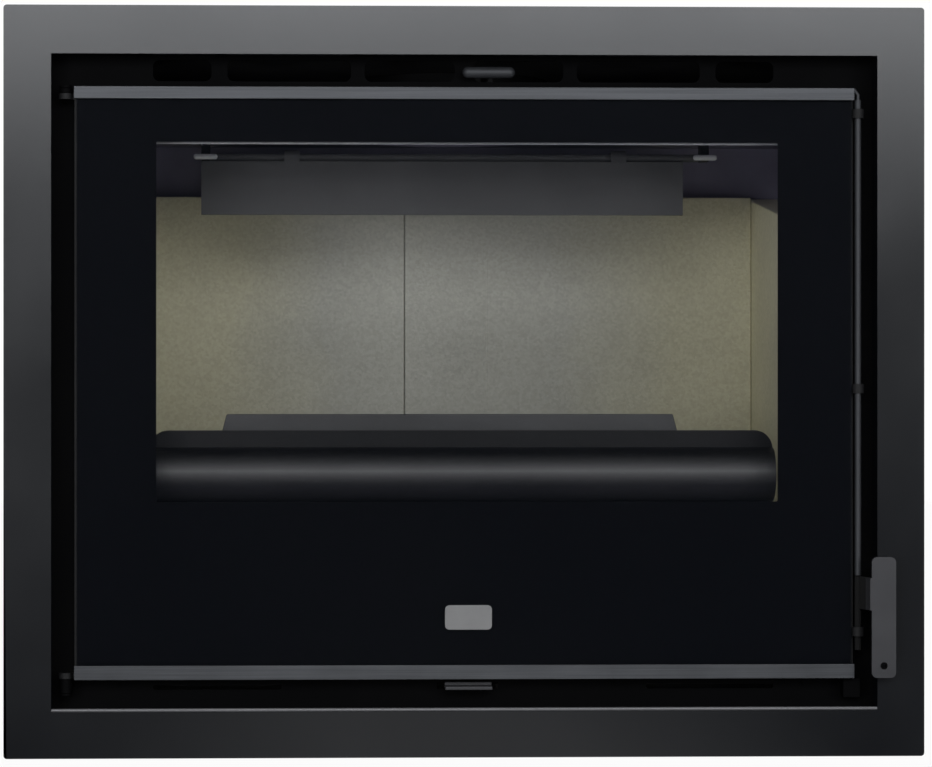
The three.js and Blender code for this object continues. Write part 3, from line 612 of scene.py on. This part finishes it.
def outline_points(x0, x1, z0, z1, radius, steps=6):
    """A rounded rectangle in the front view, anticlockwise, as (x, z) pairs."""
    corners = [(x1 - radius, z0 + radius, -90), (x1 - radius, z1 - radius, 0),
               (x0 + radius, z1 - radius, 90), (x0 + radius, z0 + radius, 180)]
    points = []
    for cx, cz, start in corners:
        for i in range(steps + 1):
            turn = math.radians(start + 90 * i / steps)
            points.append((cx + radius * math.cos(turn), cz + radius * math.sin(turn)))
    return points


def ring_plate(name, outer, inner, y0, y1):
    """A closed flat ring between two outlines with the same number of points."""
    work = bmesh.new()
    count = len(outer)
    loops = []
    for points, y in ((outer, y0), (inner, y0), (inner, y1), (outer, y1)):
        loops.append([work.verts.new((x, y, z)) for x, z in points])
    for a, b in zip(loops, loops[1:] + loops[:1]):
        for i in range(count):
            j = (i + 1) % count
            work.faces.new((a[i], a[j], b[j], b[i]))
    bmesh.ops.recalc_face_normals(work, faces=work.faces)
    return mesh_from(work, name)


def resampled(points, step):
    """Points at an even spacing along a closed outline."""
    ring = np.array(points + points[:1])
    lengths = np.hypot(*np.diff(ring, axis=0).T)
    run = np.concatenate([[0], np.cumsum(lengths)])
    count = int(run[-1] / step)
    places = np.linspace(0, run[-1], count, endpoint=False)
    across, up = (np.interp(places, run, ring[:, axis]) for axis in (0, 1))
    return [(float(x), float(z)) for x, z in zip(across, up)]


def circle(cx, cz, radius, steps=32):
    """A ring of points in the front view, as (x, z) pairs."""
    turns = [2 * math.pi * i / steps for i in range(steps)]
    return [(cx + radius * math.cos(turn), cz + radius * math.sin(turn)) for turn in turns]


# ---- repeated fasteners --------------------------------------------------------------------------
def fastener_tree(name, sides):
    """Geometry nodes: one domed or hexagon head with a washer on each point of a mesh."""
    tree = bpy.data.node_groups.new(name, "GeometryNodeTree")
    for label, kind in (
        ("Points", "Geometry"), ("Head radius", "Float"), ("Head height", "Float"),
        ("Washer radius", "Float"), ("Turn", "Vector"), ("Finish", "Material"),
    ):
        tree.interface.new_socket(label, in_out="INPUT", socket_type=f"NodeSocket{kind}")
    tree.interface.new_socket("Heads", in_out="OUTPUT", socket_type="NodeSocketGeometry")
    given = tree.nodes.new("NodeGroupInput").outputs
    head = add(tree, "GeometryNodeMeshCylinder", {
        "Vertices": sides, "Radius": given["Head radius"], "Depth": given["Head height"],
    }, fill_type="NGON").outputs["Mesh"]
    dome = add(tree, "GeometryNodeMeshUVSphere", {
        "Segments": 16, "Rings": 8, "Radius": given["Head radius"],
    }).outputs["Mesh"]
    dome = add(tree, "GeometryNodeTransform", {"Geometry": dome, "Scale": (0.92, 0.92, 0.55)})
    washer = add(tree, "GeometryNodeMeshCylinder", {
        "Vertices": 24, "Radius": given["Washer radius"], "Depth": 1.2 * MM,
    }, fill_type="NGON").outputs["Mesh"]
    parts = add(tree, "GeometryNodeJoinGeometry")
    for part in (head, dome.outputs[0], washer):
        tree.links.new(part, parts.inputs[0])
    turn = add(tree, "FunctionNodeEulerToRotation", {"Euler": given["Turn"]}).outputs[0]
    copies = add(tree, "GeometryNodeInstanceOnPoints", {
        "Points": given["Points"], "Instance": parts.outputs[0], "Rotation": turn,
    }).outputs[0]
    real = add(tree, "GeometryNodeRealizeInstances", {"Geometry": copies}).outputs[0]
    done = add(tree, "GeometryNodeSetMaterial", {"Geometry": real, "Material": given["Finish"]})
    tree.links.new(done.outputs[0], tree.nodes.new("NodeGroupOutput").inputs["Heads"])
    return tree


def fasteners(name, points, turn, head, height, washer, material, body, slot, sides=6):
    """Makes one mesh of like fasteners at the points, their heads facing along the turned Z."""
    tree = bpy.data.node_groups.get(f"Heads {sides}") or fastener_tree(f"Heads {sides}", sides)
    seeds = bpy.data.meshes.new(name)
    seeds.from_pydata(points, [], [])
    holder = held(seeds)
    modifier = holder.modifiers.new("heads", "NODES")
    modifier.node_group = tree
    values = {
        "Head radius": head, "Head height": height, "Washer radius": washer, "Turn": turn,
        "Finish": material_named(material),
    }
    for item in tree.interface.items_tree:
        if item.name in values:
            modifier[item.identifier] = values[item.name]
    mesh = shaded(evaluated_mesh(holder, name))
    return new_piece(name, mesh, material, body, slot)


FACING_ROOM = (math.pi / 2, 0.0, 0.0)
FACING_BACK = (-math.pi / 2, 0.0, 0.0)
FACING_UP = (0.0, 0.0, 0.0)
FACING_LEFT = (0.0, -math.pi / 2, 0.0)
FACING_RIGHT = (0.0, math.pi / 2, 0.0)
BOLT_RISE = 26 * MM
BOLT_PLACES = (-306, -139, 136, 301)  # along X, in millimetres


# ---- operators -----------------------------------------------------------------------------------
class INSERT_OT_surround(bpy.types.Operator):
    """Surround frame with rounded folds"""

    bl_idname = "insert.surround"
    bl_label = "Surround"

    def execute(self, context):
        low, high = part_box("surround_frame")
        fold, cut_edge = sizes().fold_round, sizes().sheet_round
        border = 20 * MM  # a vertex further in than this belongs to the inner fold

        def weight_of(edge):
            for vert in edge.verts:
                x, y, z = vert.co
                inside = min(x - low.x, high.x - x, z - low.z, high.z - z) > border
                if not inside or y > low.y + 0.1 * MM:
                    return cut_edge / fold
            return 1.0

        mesh = merged_copy("surround_frame")
        weigh_edges(mesh, weight_of)
        mesh = shaded(rounded(mesh, fold, 5))
        piece = new_piece("surround_frame_finish", mesh, "surround_paint", "insert",
                          SLOT["surround_frame"])
        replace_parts(piece, "surround_frame")
        # painted highlight: a pale strip along the lower inner fold of the surround
        half, thick = sizes().sill_half, sizes().sill_thick
        front, foot = low.y + 0.4 * MM, low.z + sizes().sill_rise
        add_block("sill_highlight", (-half, front, foot), (half, front + thick, foot + thick),
                  1.5 * MM, "sill_highlight_steel", "insert", "bright_steel")
        return {"FINISHED"}


def add_collar_seal():
    """Flat ring that closes the gap between the flue collar and the hole in the casing's top."""
    low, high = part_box("flue_collar")
    middle = (low + high) / 2
    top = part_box("casing_shell")[1].z
    flue = sizes().flue_radius
    outer, inner = (circle(middle.x, -middle.y, r, 64) for r in (flue + 6 * MM, flue - 0.5 * MM))
    mesh = ring_plate("collar_seal", outer, inner, top + 0.1 * MM, top + 1.1 * MM)
    mesh.transform(Matrix.Rotation(math.pi / 2, 4, "X"))
    new_piece("collar_seal", shaded(mesh), "black_steel", "insert", SLOT["flue_collar"])


class INSERT_OT_casing(bpy.types.Operator):
    """Convection casing, skids and flue collar, with their screws"""

    bl_idname = "insert.casing"
    bl_label = "Casing and flue collar"

    def execute(self, context):
        edge = sizes().sheet_round
        dressed("casing_shell", "casing_sheet", edge)
        for node in ("skid_left", "skid_right"):
            dressed(node, "black_steel", edge)
        dressed("flue_collar", "black_steel", edge, 2, 50)
        add_collar_seal()
        low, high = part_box("casing_shell")
        inset, first, last = 12 * MM, 60 * MM, 40 * MM  # from the sheet's rim, and from its corners
        along = [low.y + first + i * 85 * MM for i in range(5)]
        rising = [low.z + first + i * 110 * MM for i in range(5)]
        across = [low.x + last + i * (high.x - low.x - 2 * last) / 5 for i in range(6)]
        head = sizes().screw_head
        back, top = high.y, high.z
        rows = {
            "casing_screws_back_left": ([(low.x + inset, back, z) for z in rising], FACING_BACK),
            "casing_screws_back_right": ([(high.x - inset, back, z) for z in rising], FACING_BACK),
            "casing_screws_back_top": ([(x, back, top - inset) for x in across], FACING_BACK),
            "casing_screws_top_left": ([(low.x + inset, y, top) for y in along], FACING_UP),
            "casing_screws_top_right": ([(high.x - inset, y, top) for y in along], FACING_UP),
            "casing_screws_left": ([(low.x, y, low.z + inset) for y in along], FACING_LEFT),
            "casing_screws_right": ([(high.x, y, low.z + inset) for y in along], FACING_RIGHT),
        }
        for name, (points, turn) in rows.items():
            fasteners(name, points, turn, head, 1.2 * MM, head * 1.4, "bright_steel", "insert",
                      "bright_steel", sides=8)
        return {"FINISHED"}


class INSERT_OT_front_plate(bpy.types.Operator):
    """Front plate round the mouth, its bolts, the hinges and the keepers"""

    bl_idname = "insert.front_plate"
    bl_label = "Front plate and hinges"

    def execute(self, context):
        edge = sizes().sheet_round
        # the front plate, rest, hinges and bolts take the painted shade black
        dressed("front_plate", "painted_shade_black", edge)
        dressed("door_rest", "painted_shade_black", edge)
        # the chamber's steel takes the painted light tone
        dressed("firebox", "chamber_steel_painted_light", edge)
        for side in ("upper", "lower"):
            dressed(f"hinge_bracket_{side}", "painted_shade_black", edge)
            dressed(f"hinge_pin_{side}", "painted_shade_black", edge)
            dressed(f"keeper_{side}", "bright_steel", edge)
        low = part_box("front_plate")[0]
        places = [(x * MM, low.y, low.z + BOLT_RISE) for x in BOLT_PLACES]
        head = sizes().bolt_head
        fasteners("front_plate_bolts", places, FACING_ROOM, head, 5 * MM, head * 1.35,
                  "painted_shade_black", "insert", "black_steel")
        return {"FINISHED"}


class INSERT_OT_lining(bpy.types.Operator):
    """Vermiculite boards of the fire chamber"""

    bl_idname = "insert.lining"
    bl_label = "Lining"

    def execute(self, context):
        for node in sorted(n for n in NODES if "_brick_" in n):
            dressed(node, "vermiculite", sizes().brick_round, 3)
        centre_low, centre_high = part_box("back_brick_centre")
        right_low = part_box("back_brick_right")[0]
        cover = 1.2 * MM  # how far the dust reaches over the bricks
        short = 2 * MM  # how far it stops before their ends
        add_block("joint_dust",
                  (centre_high.x - cover, centre_low.y + 0.25 * MM, centre_low.z + short),
                  (right_low.x + cover, centre_low.y + 4 * MM, centre_high.z - short),
                  0.2 * MM, "vermiculite", "insert", "vermiculite")
        return {"FINISHED"}


class INSERT_OT_hearth(bpy.types.Operator):
    """Grate, ash pan, tray and log guards"""

    bl_idname = "insert.hearth"
    bl_label = "Hearth"

    def execute(self, context):
        dressed("hearth_tray", "black_steel", sizes().sheet_round)
        dressed("ash_pan", "galvanised", sizes().sheet_round / 2)
        dressed("grate", "cast_iron", sizes().iron_round, 3)
        dressed("log_retainer", "log_guard", sizes().iron_round, 3)
        dressed("inner_fence", "guard_iron", sizes().iron_round, 3)
        return {"FINISHED"}


def add_bar_clip(hanger):
    """The bright round end of the bar's clip, across the front of its hanger."""
    low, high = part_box(hanger)
    bar_low, bar_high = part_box("baffle_bar")
    radius = sizes().clip_radius
    middle = Vector(((low.x + high.x) / 2, low.y - radius - 0.2 * MM, (bar_low.z + bar_high.z) / 2))
    work = bmesh.new()
    turn = Matrix.Rotation(math.pi / 2, 4, "Y")
    reach = (high.x - low.x + 14 * MM) / 2 - radius  # from the middle to each round end's centre
    bmesh.ops.create_uvsphere(work, u_segments=20, v_segments=12, radius=radius, matrix=turn)
    for vert in work.verts:
        vert.co.x += math.copysign(reach, vert.co.x) if abs(vert.co.x) > 1e-7 else 0
        vert.co += middle
    name = f"{hanger}_clip"
    new_piece(name, shaded(mesh_from(work, name), 60), "strip_steel", "insert", "bright_steel")


class INSERT_OT_baffle(bpy.types.Operator):
    """Smoke baffle, its bar and hangers, and the air-wash strip"""

    bl_idname = "insert.baffle"
    bl_label = "Baffle"

    def execute(self, context):
        edge = sizes().sheet_round
        dressed("smoke_baffle", "baffle_steel", edge)
        dressed("baffle_bar", "baffle_steel", edge)
        dressed("airwash_strip", "strip_steel", edge)
        for node in ("bar_hanger_left", "bar_hanger_right"):
            dressed(node, "black_steel", edge)
            add_bar_clip(node)
        return {"FINISHED"}


class INSERT_OT_door(bpy.types.Operator):
    """Door frame, rails, glass with its printed border, and the bare plate"""

    bl_idname = "insert.door"
    bl_label = "Door"

    def execute(self, context):
        size = sizes()
        dressed("door_frame", "black_steel", size.sheet_round)
        for node in ("top_rail", "bottom_rail"):
            dressed(node, "satin_steel", size.sheet_round * 0.7, 3)
        dressed("door_glass", "ceramic_glass", size.glass_round, 2)
        dressed("glass_tape", "glass_rope", size.glass_round)
        dressed("badge_plate", "badge_metal", 0.4 * MM, 3)
        low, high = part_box("door_glass")
        rim = 0.6 * MM
        outer = outline_points(low.x + rim, high.x - rim, low.z + rim, high.z - rim, 1 * MM)
        window = outline_points(
            -size.window_left, size.window_right, size.window_low, size.window_high, 1.5 * MM)
        mesh = ring_plate("glass_print", outer, window, high.y + 0.05 * MM, high.y + 0.15 * MM)
        new_piece("glass_print", mesh, "print_black", "door", "ceramic_glass")
        return {"FINISHED"}


SQUARENESS = 0.8  # 1 is a round rope, less is squarer


class INSERT_OT_seal(bpy.types.Operator):
    """Rope seal round the back of the door, twisted from strands"""

    bl_idname = "insert.seal"
    bl_label = "Door seal"

    def execute(self, context):
        low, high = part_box("door_seal")
        thick = high.y - low.y
        width = 10 * MM
        rib = sizes().rope_rib
        strands = sizes().rope_strands
        half = width / 2
        path = outline_points(
            low.x + half, high.x - half, low.z + half, high.z - half, 12 * MM, 10)
        path = resampled(path, 2.2 * MM)
        middle = (low.y + high.y) / 2
        sides = 3 * strands
        count = len(path)
        turns_per_point = 1 / 9
        work = bmesh.new()
        rows = []
        for i, (x, z) in enumerate(path):
            before, after = path[i - 1], path[(i + 1) % count]
            along = Vector((after[0] - before[0], 0, after[1] - before[1])).normalized()
            outward = Vector((along.z, 0, -along.x))
            row = []
            for k in range(sides):
                angle = 2 * math.pi * k / sides
                ridge = math.cos(strands * angle + 2 * math.pi * turns_per_point * i)
                swell = 1 - rib * (1 - ridge) / width
                across, depth = (
                    math.copysign(abs(part) ** SQUARENESS, part) * span / 2 * swell
                    for part, span in ((math.cos(angle), width), (math.sin(angle), thick))
                )
                row.append(work.verts.new(Vector((x, middle + depth, z)) + outward * across))
            rows.append(row)
        for i in range(count):
            a, b = rows[i], rows[(i + 1) % count]
            for k in range(sides):
                j = (k + 1) % sides
                work.faces.new((a[k], a[j], b[j], b[k]))
        bmesh.ops.recalc_face_normals(work, faces=work.faces)
        mesh = mesh_from(work, "door_seal_rope")
        mesh.shade_smooth()
        piece = new_piece("door_seal_rope", mesh, "glass_rope", "door", "glass_rope")
        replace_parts(piece, "door_seal")
        return {"FINISHED"}


def add_grip_hole_shade():
    """Dark ring round the hole near the foot of the grip: painted shade of the hole's sunk edge."""
    low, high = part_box("door_grip")
    half_blade = 10.5 * MM  # the hole is as far from the foot as from the sides
    at_x, at_z = high.x - half_blade, low.z + half_blade
    rim, bore = 3.1 * MM, 1.4 * MM
    mesh = ring_plate("grip_hole_shade", circle(at_x, at_z, rim), circle(at_x, at_z, bore),
                      low.y - 0.25 * MM, low.y + 3 * MM)
    new_piece("grip_hole_shade", shaded(mesh), "painted_shade_black", "latch", SLOT["door_grip"])


def add_rod_pin():
    """Small hooked pin that keeps the rod's head in the door frame."""
    low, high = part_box("latch_rod")
    radius, overlap, hook = 1.5 * MM, 4 * MM, 3 * MM
    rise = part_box("door_frame")[1].z - high.z - radius
    foot = Vector(((low.x + high.x) / 2, low.y + 2.5 * MM, high.z))
    bend = [foot + Vector(way) for way in ((0, 0, -overlap), (0, 0, rise / 2), (-hook, 0, rise))]
    work = bmesh.new()
    for start, end in zip(bend, bend[1:]):
        along = end - start
        turn = along.to_track_quat("Z", "Y").to_matrix().to_4x4()
        place = Matrix.Translation((start + end) / 2) @ turn
        bmesh.ops.create_cone(work, cap_ends=True, segments=16, radius1=radius, radius2=radius,
                              depth=along.length + radius, matrix=place)
    mesh = shaded(mesh_from(work, "rod_pin"))
    new_piece("rod_pin", mesh, "rod_steel", "latch", SLOT["latch_rod"])


class INSERT_OT_latch(bpy.types.Operator):
    """Latch rod and the upright grip"""

    bl_idname = "insert.latch"
    bl_label = "Latch and grip"

    def execute(self, context):
        dressed("latch_rod", "rod_steel", 0.4 * MM)
        dressed("door_grip", "grip_steel", 0.9 * MM, 3)
        add_grip_hole_shade()
        add_rod_pin()
        return {"FINISHED"}


class INSERT_OT_air_controls(bpy.types.Operator):
    """Upper and lower air controls"""

    bl_idname = "insert.air_controls"
    bl_label = "Air controls"

    def execute(self, context):
        dressed("top_air_knob", "rod_steel", 0.3 * MM)
        dressed("top_air_rod", "black_steel", 0.3 * MM)
        dressed("top_air_shutter", "black_steel", 0.4 * MM)
        dressed("low_air_lever", "lever_steel", 0.6 * MM, 3)
        dressed("low_air_shutter", "black_steel", 0.4 * MM)
        return {"FINISHED"}


# ---- stage ---------------------------------------------------------------------------------------
PIXELS_WIDE = 932
SURROUND_LEFT_PIXEL, SURROUND_RIGHT_PIXEL = 3.4, 924.3
CAMERA_DISTANCE = 2.9
CAMERA_YAW = math.radians(1.8)
CAMERA_ASIDE = -0.164
CAMERA_HEIGHT = 0.3245
WORLD_LEVEL = 0.35  # strength of the light that the world gives
LAMP_TINT = (0.95, 0.97, 1.0)
ROOM_IN_MIRROR = 0.06  # level of the room's side of the world and floor in a mirror
FLOOR_WHITE = 0.95  # share of white in the floor as the camera sees it; the rest takes the shadow
FLOOR_SHEEN = 0.62  # level of the floor in front of the insert's middle in a mirror
BACK = 3.0  # distance of the fills from the surround's face
# name, place, target, width, height, radiance; Y is counted from the surround's face
LAMPS = (
    ("upper_panel", (0.35, -3.3, 1.37), (0.35, -1.0, 0.9), 3.0, 0.86, 7.2),
    ("left_fill", (-1.6, -BACK, 0.55), (0, 0, 0.33), 1.0, 0.9, 10.5),
    ("right_fill", (2.25, -BACK, 0.55), (0, 0, 0.33), 1.0, 0.9, 9.6),
    ("back_fill", (0, BACK, 2.4), (0, 0, 0.33), 2.0, 1.2, 1.0),
)
SENSOR = 36.0


def aim(thing, target):
    direction = Vector(target) - thing.location
    thing.rotation_euler = direction.to_track_quat("-Z", "Y").to_euler()


def make_camera():
    """A camera left of the middle; its lens and shift put the surround's sides on their pixels."""
    low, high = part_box("surround_frame")
    sine, cosine = math.sin(CAMERA_YAW), math.cos(CAMERA_YAW)

    def slope(x):
        aside = x - CAMERA_ASIDE
        ahead = aside * sine + CAMERA_DISTANCE * cosine
        return (aside * cosine - CAMERA_DISTANCE * sine) / ahead

    left_share = (SURROUND_LEFT_PIXEL - PIXELS_WIDE / 2) / PIXELS_WIDE
    right_share = (SURROUND_RIGHT_PIXEL - PIXELS_WIDE / 2) / PIXELS_WIDE
    zoom = (right_share - left_share) / (slope(high.x) - slope(low.x))
    data = bpy.data.cameras.new("camera")
    data.sensor_width = SENSOR
    data.lens = SENSOR * zoom
    data.shift_x = zoom * slope(low.x) - left_share
    camera = bpy.data.objects.new("camera", data)
    bpy.context.scene.collection.objects.link(camera)
    camera.location = (CAMERA_ASIDE, low.y - CAMERA_DISTANCE, CAMERA_HEIGHT)
    camera.rotation_euler = (math.pi / 2, 0, -CAMERA_YAW)
    bpy.context.scene.camera = camera


def make_lamp(name, location, target, width, height, radiance):
    data = bpy.data.lights.new(name, "AREA")
    data.shape = "RECTANGLE"
    data.size, data.size_y = width, height
    data.energy = radiance * width * height * math.pi
    data.color = LAMP_TINT
    lamp = bpy.data.objects.new(name, data)
    bpy.context.scene.collection.objects.link(lamp)
    lamp.location = location
    aim(lamp, target)


def room_level(tree, ahead, near, far, dim=ROOM_IN_MIRROR, above=None):
    """How bright the surroundings look in a mirror: white behind and above, dim in the room."""
    path = add(tree, "ShaderNodeLightPath").outputs
    mirrored = ranged(tree, ahead, near, far, dim, 1.0)
    if above is not None:
        ceiling = ranged(tree, above, 0.3, 0.6, 0.0, 1.0)
        mirrored = computed(tree, "MAXIMUM", mirrored, ceiling)
    return ranged(tree, path["Is Glossy Ray"], 0.0, 1.0, 1.0, mirrored)


def seen_directly(tree):
    """1 for camera, glossy and transmission rays, 0 for the rays that light the object."""
    path = add(tree, "ShaderNodeLightPath").outputs
    total = computed(tree, "MAXIMUM", path["Is Camera Ray"], path["Is Glossy Ray"])
    return computed(tree, "MAXIMUM", total, path["Is Transmission Ray"])


def make_world():
    world = bpy.data.worlds.new("studio")
    bpy.context.scene.world = world
    world.use_nodes = True
    tree = world.node_tree
    plain = ranged(tree, seen_directly(tree), 0.0, 1.0, WORLD_LEVEL, 1.0)
    way = axes(tree, add(tree, "ShaderNodeTexCoord").outputs["Generated"])
    level = room_level(tree, way["Y"], -0.2, 0.25, above=way["Z"])
    strength = computed(tree, "MULTIPLY", plain, level)
    background = tree.nodes["Background"]
    background.inputs["Color"].default_value = (1, 1, 1, 1)
    tree.links.new(strength, background.inputs["Strength"])


def make_floor():
    work = bmesh.new()
    bmesh.ops.create_grid(work, x_segments=8, y_segments=8, size=6.0)
    mesh = mesh_from(work, "floor")
    floor = bpy.data.objects.new("floor", mesh)
    bpy.context.scene.collection.objects.link(floor)
    floor.location.z = -0.5 * MM
    tree, _ = start_material("floor", Base_Color=(0.9, 0.9, 0.9, 1), Roughness=0.9)
    diffuse = tree.nodes["Principled BSDF"].outputs[0]
    out = tree.nodes["Material Output"]
    place = axes(tree, add(tree, "ShaderNodeTexCoord").outputs["Object"])
    aside = computed(tree, "ABSOLUTE", place["X"])
    sheen = ranged(tree, aside, 0.1, 0.36, FLOOR_SHEEN, ROOM_IN_MIRROR)
    level = room_level(tree, place["Y"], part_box("surround_frame")[0].y, 0.1, sheen)
    glow = add(tree, "ShaderNodeEmission", {"Strength": level}).outputs[0]
    path = add(tree, "ShaderNodeLightPath").outputs
    share = ranged(tree, seen_directly(tree), 0.0, 1.0, 0.0, FLOOR_WHITE)
    share = computed(tree, "MAXIMUM", share, path["Is Glossy Ray"])
    blend = add(tree, "ShaderNodeMixShader", {"Fac": share, 1: diffuse, 2: glow})
    tree.links.new(blend.outputs[0], out.inputs["Surface"])
    mesh.materials.append(MADE["floor"])
    floor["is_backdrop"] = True


class INSERT_OT_stage(bpy.types.Operator):
    """Camera, floor, lamps and world"""

    bl_idname = "insert.stage"
    bl_label = "Stage"

    def execute(self, context):
        make_camera()
        make_floor()
        make_world()
        face = Vector((0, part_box("surround_frame")[0].y, 0))
        for name, place, target, *rest in LAMPS:
            make_lamp(name, face + Vector(place), face + Vector(target), *rest)
        context.scene.view_settings.view_transform = "Standard"
        return {"FINISHED"}


class INSERT_PT_panel(bpy.types.Panel):
    """Lists the insert's settings and its steps"""

    bl_label = "Fireplace insert"
    bl_space_type = "VIEW_3D"
    bl_region_type = "UI"
    bl_category = "Insert"

    def draw(self, context):
        for settings in (context.scene.insert_finishes, context.scene.insert_sizes):
            box = self.layout.box()
            for name in settings.__annotations__:
                box.prop(settings, name)
        for step in STEPS:
            self.layout.operator(step.bl_idname)


STEPS = (
    INSERT_OT_surround, INSERT_OT_casing, INSERT_OT_front_plate, INSERT_OT_lining, INSERT_OT_hearth,
    INSERT_OT_baffle, INSERT_OT_door, INSERT_OT_seal, INSERT_OT_latch, INSERT_OT_air_controls,
    INSERT_OT_stage,
)
CLASSES = (InsertFinishes, InsertSizes, *STEPS, INSERT_PT_panel)


def register():
    for cls in CLASSES:
        bpy.utils.register_class(cls)
    bpy.types.Scene.insert_finishes = PointerProperty(type=InsertFinishes)
    bpy.types.Scene.insert_sizes = PointerProperty(type=InsertSizes)


def unregister():
    del bpy.types.Scene.insert_sizes
    del bpy.types.Scene.insert_finishes
    for cls in reversed(CLASSES):
        bpy.utils.unregister_class(cls)


def main():
    register()
    for step in STEPS:
        getattr(bpy.ops.insert, step.bl_idname.split(".")[1])()
    made = {"cad": CAD_BOUNDS, "visual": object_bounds()}
    {key: [list(corner) for corner in box] for key, box in made.items()}


if __name__ == "__main__":
    main()
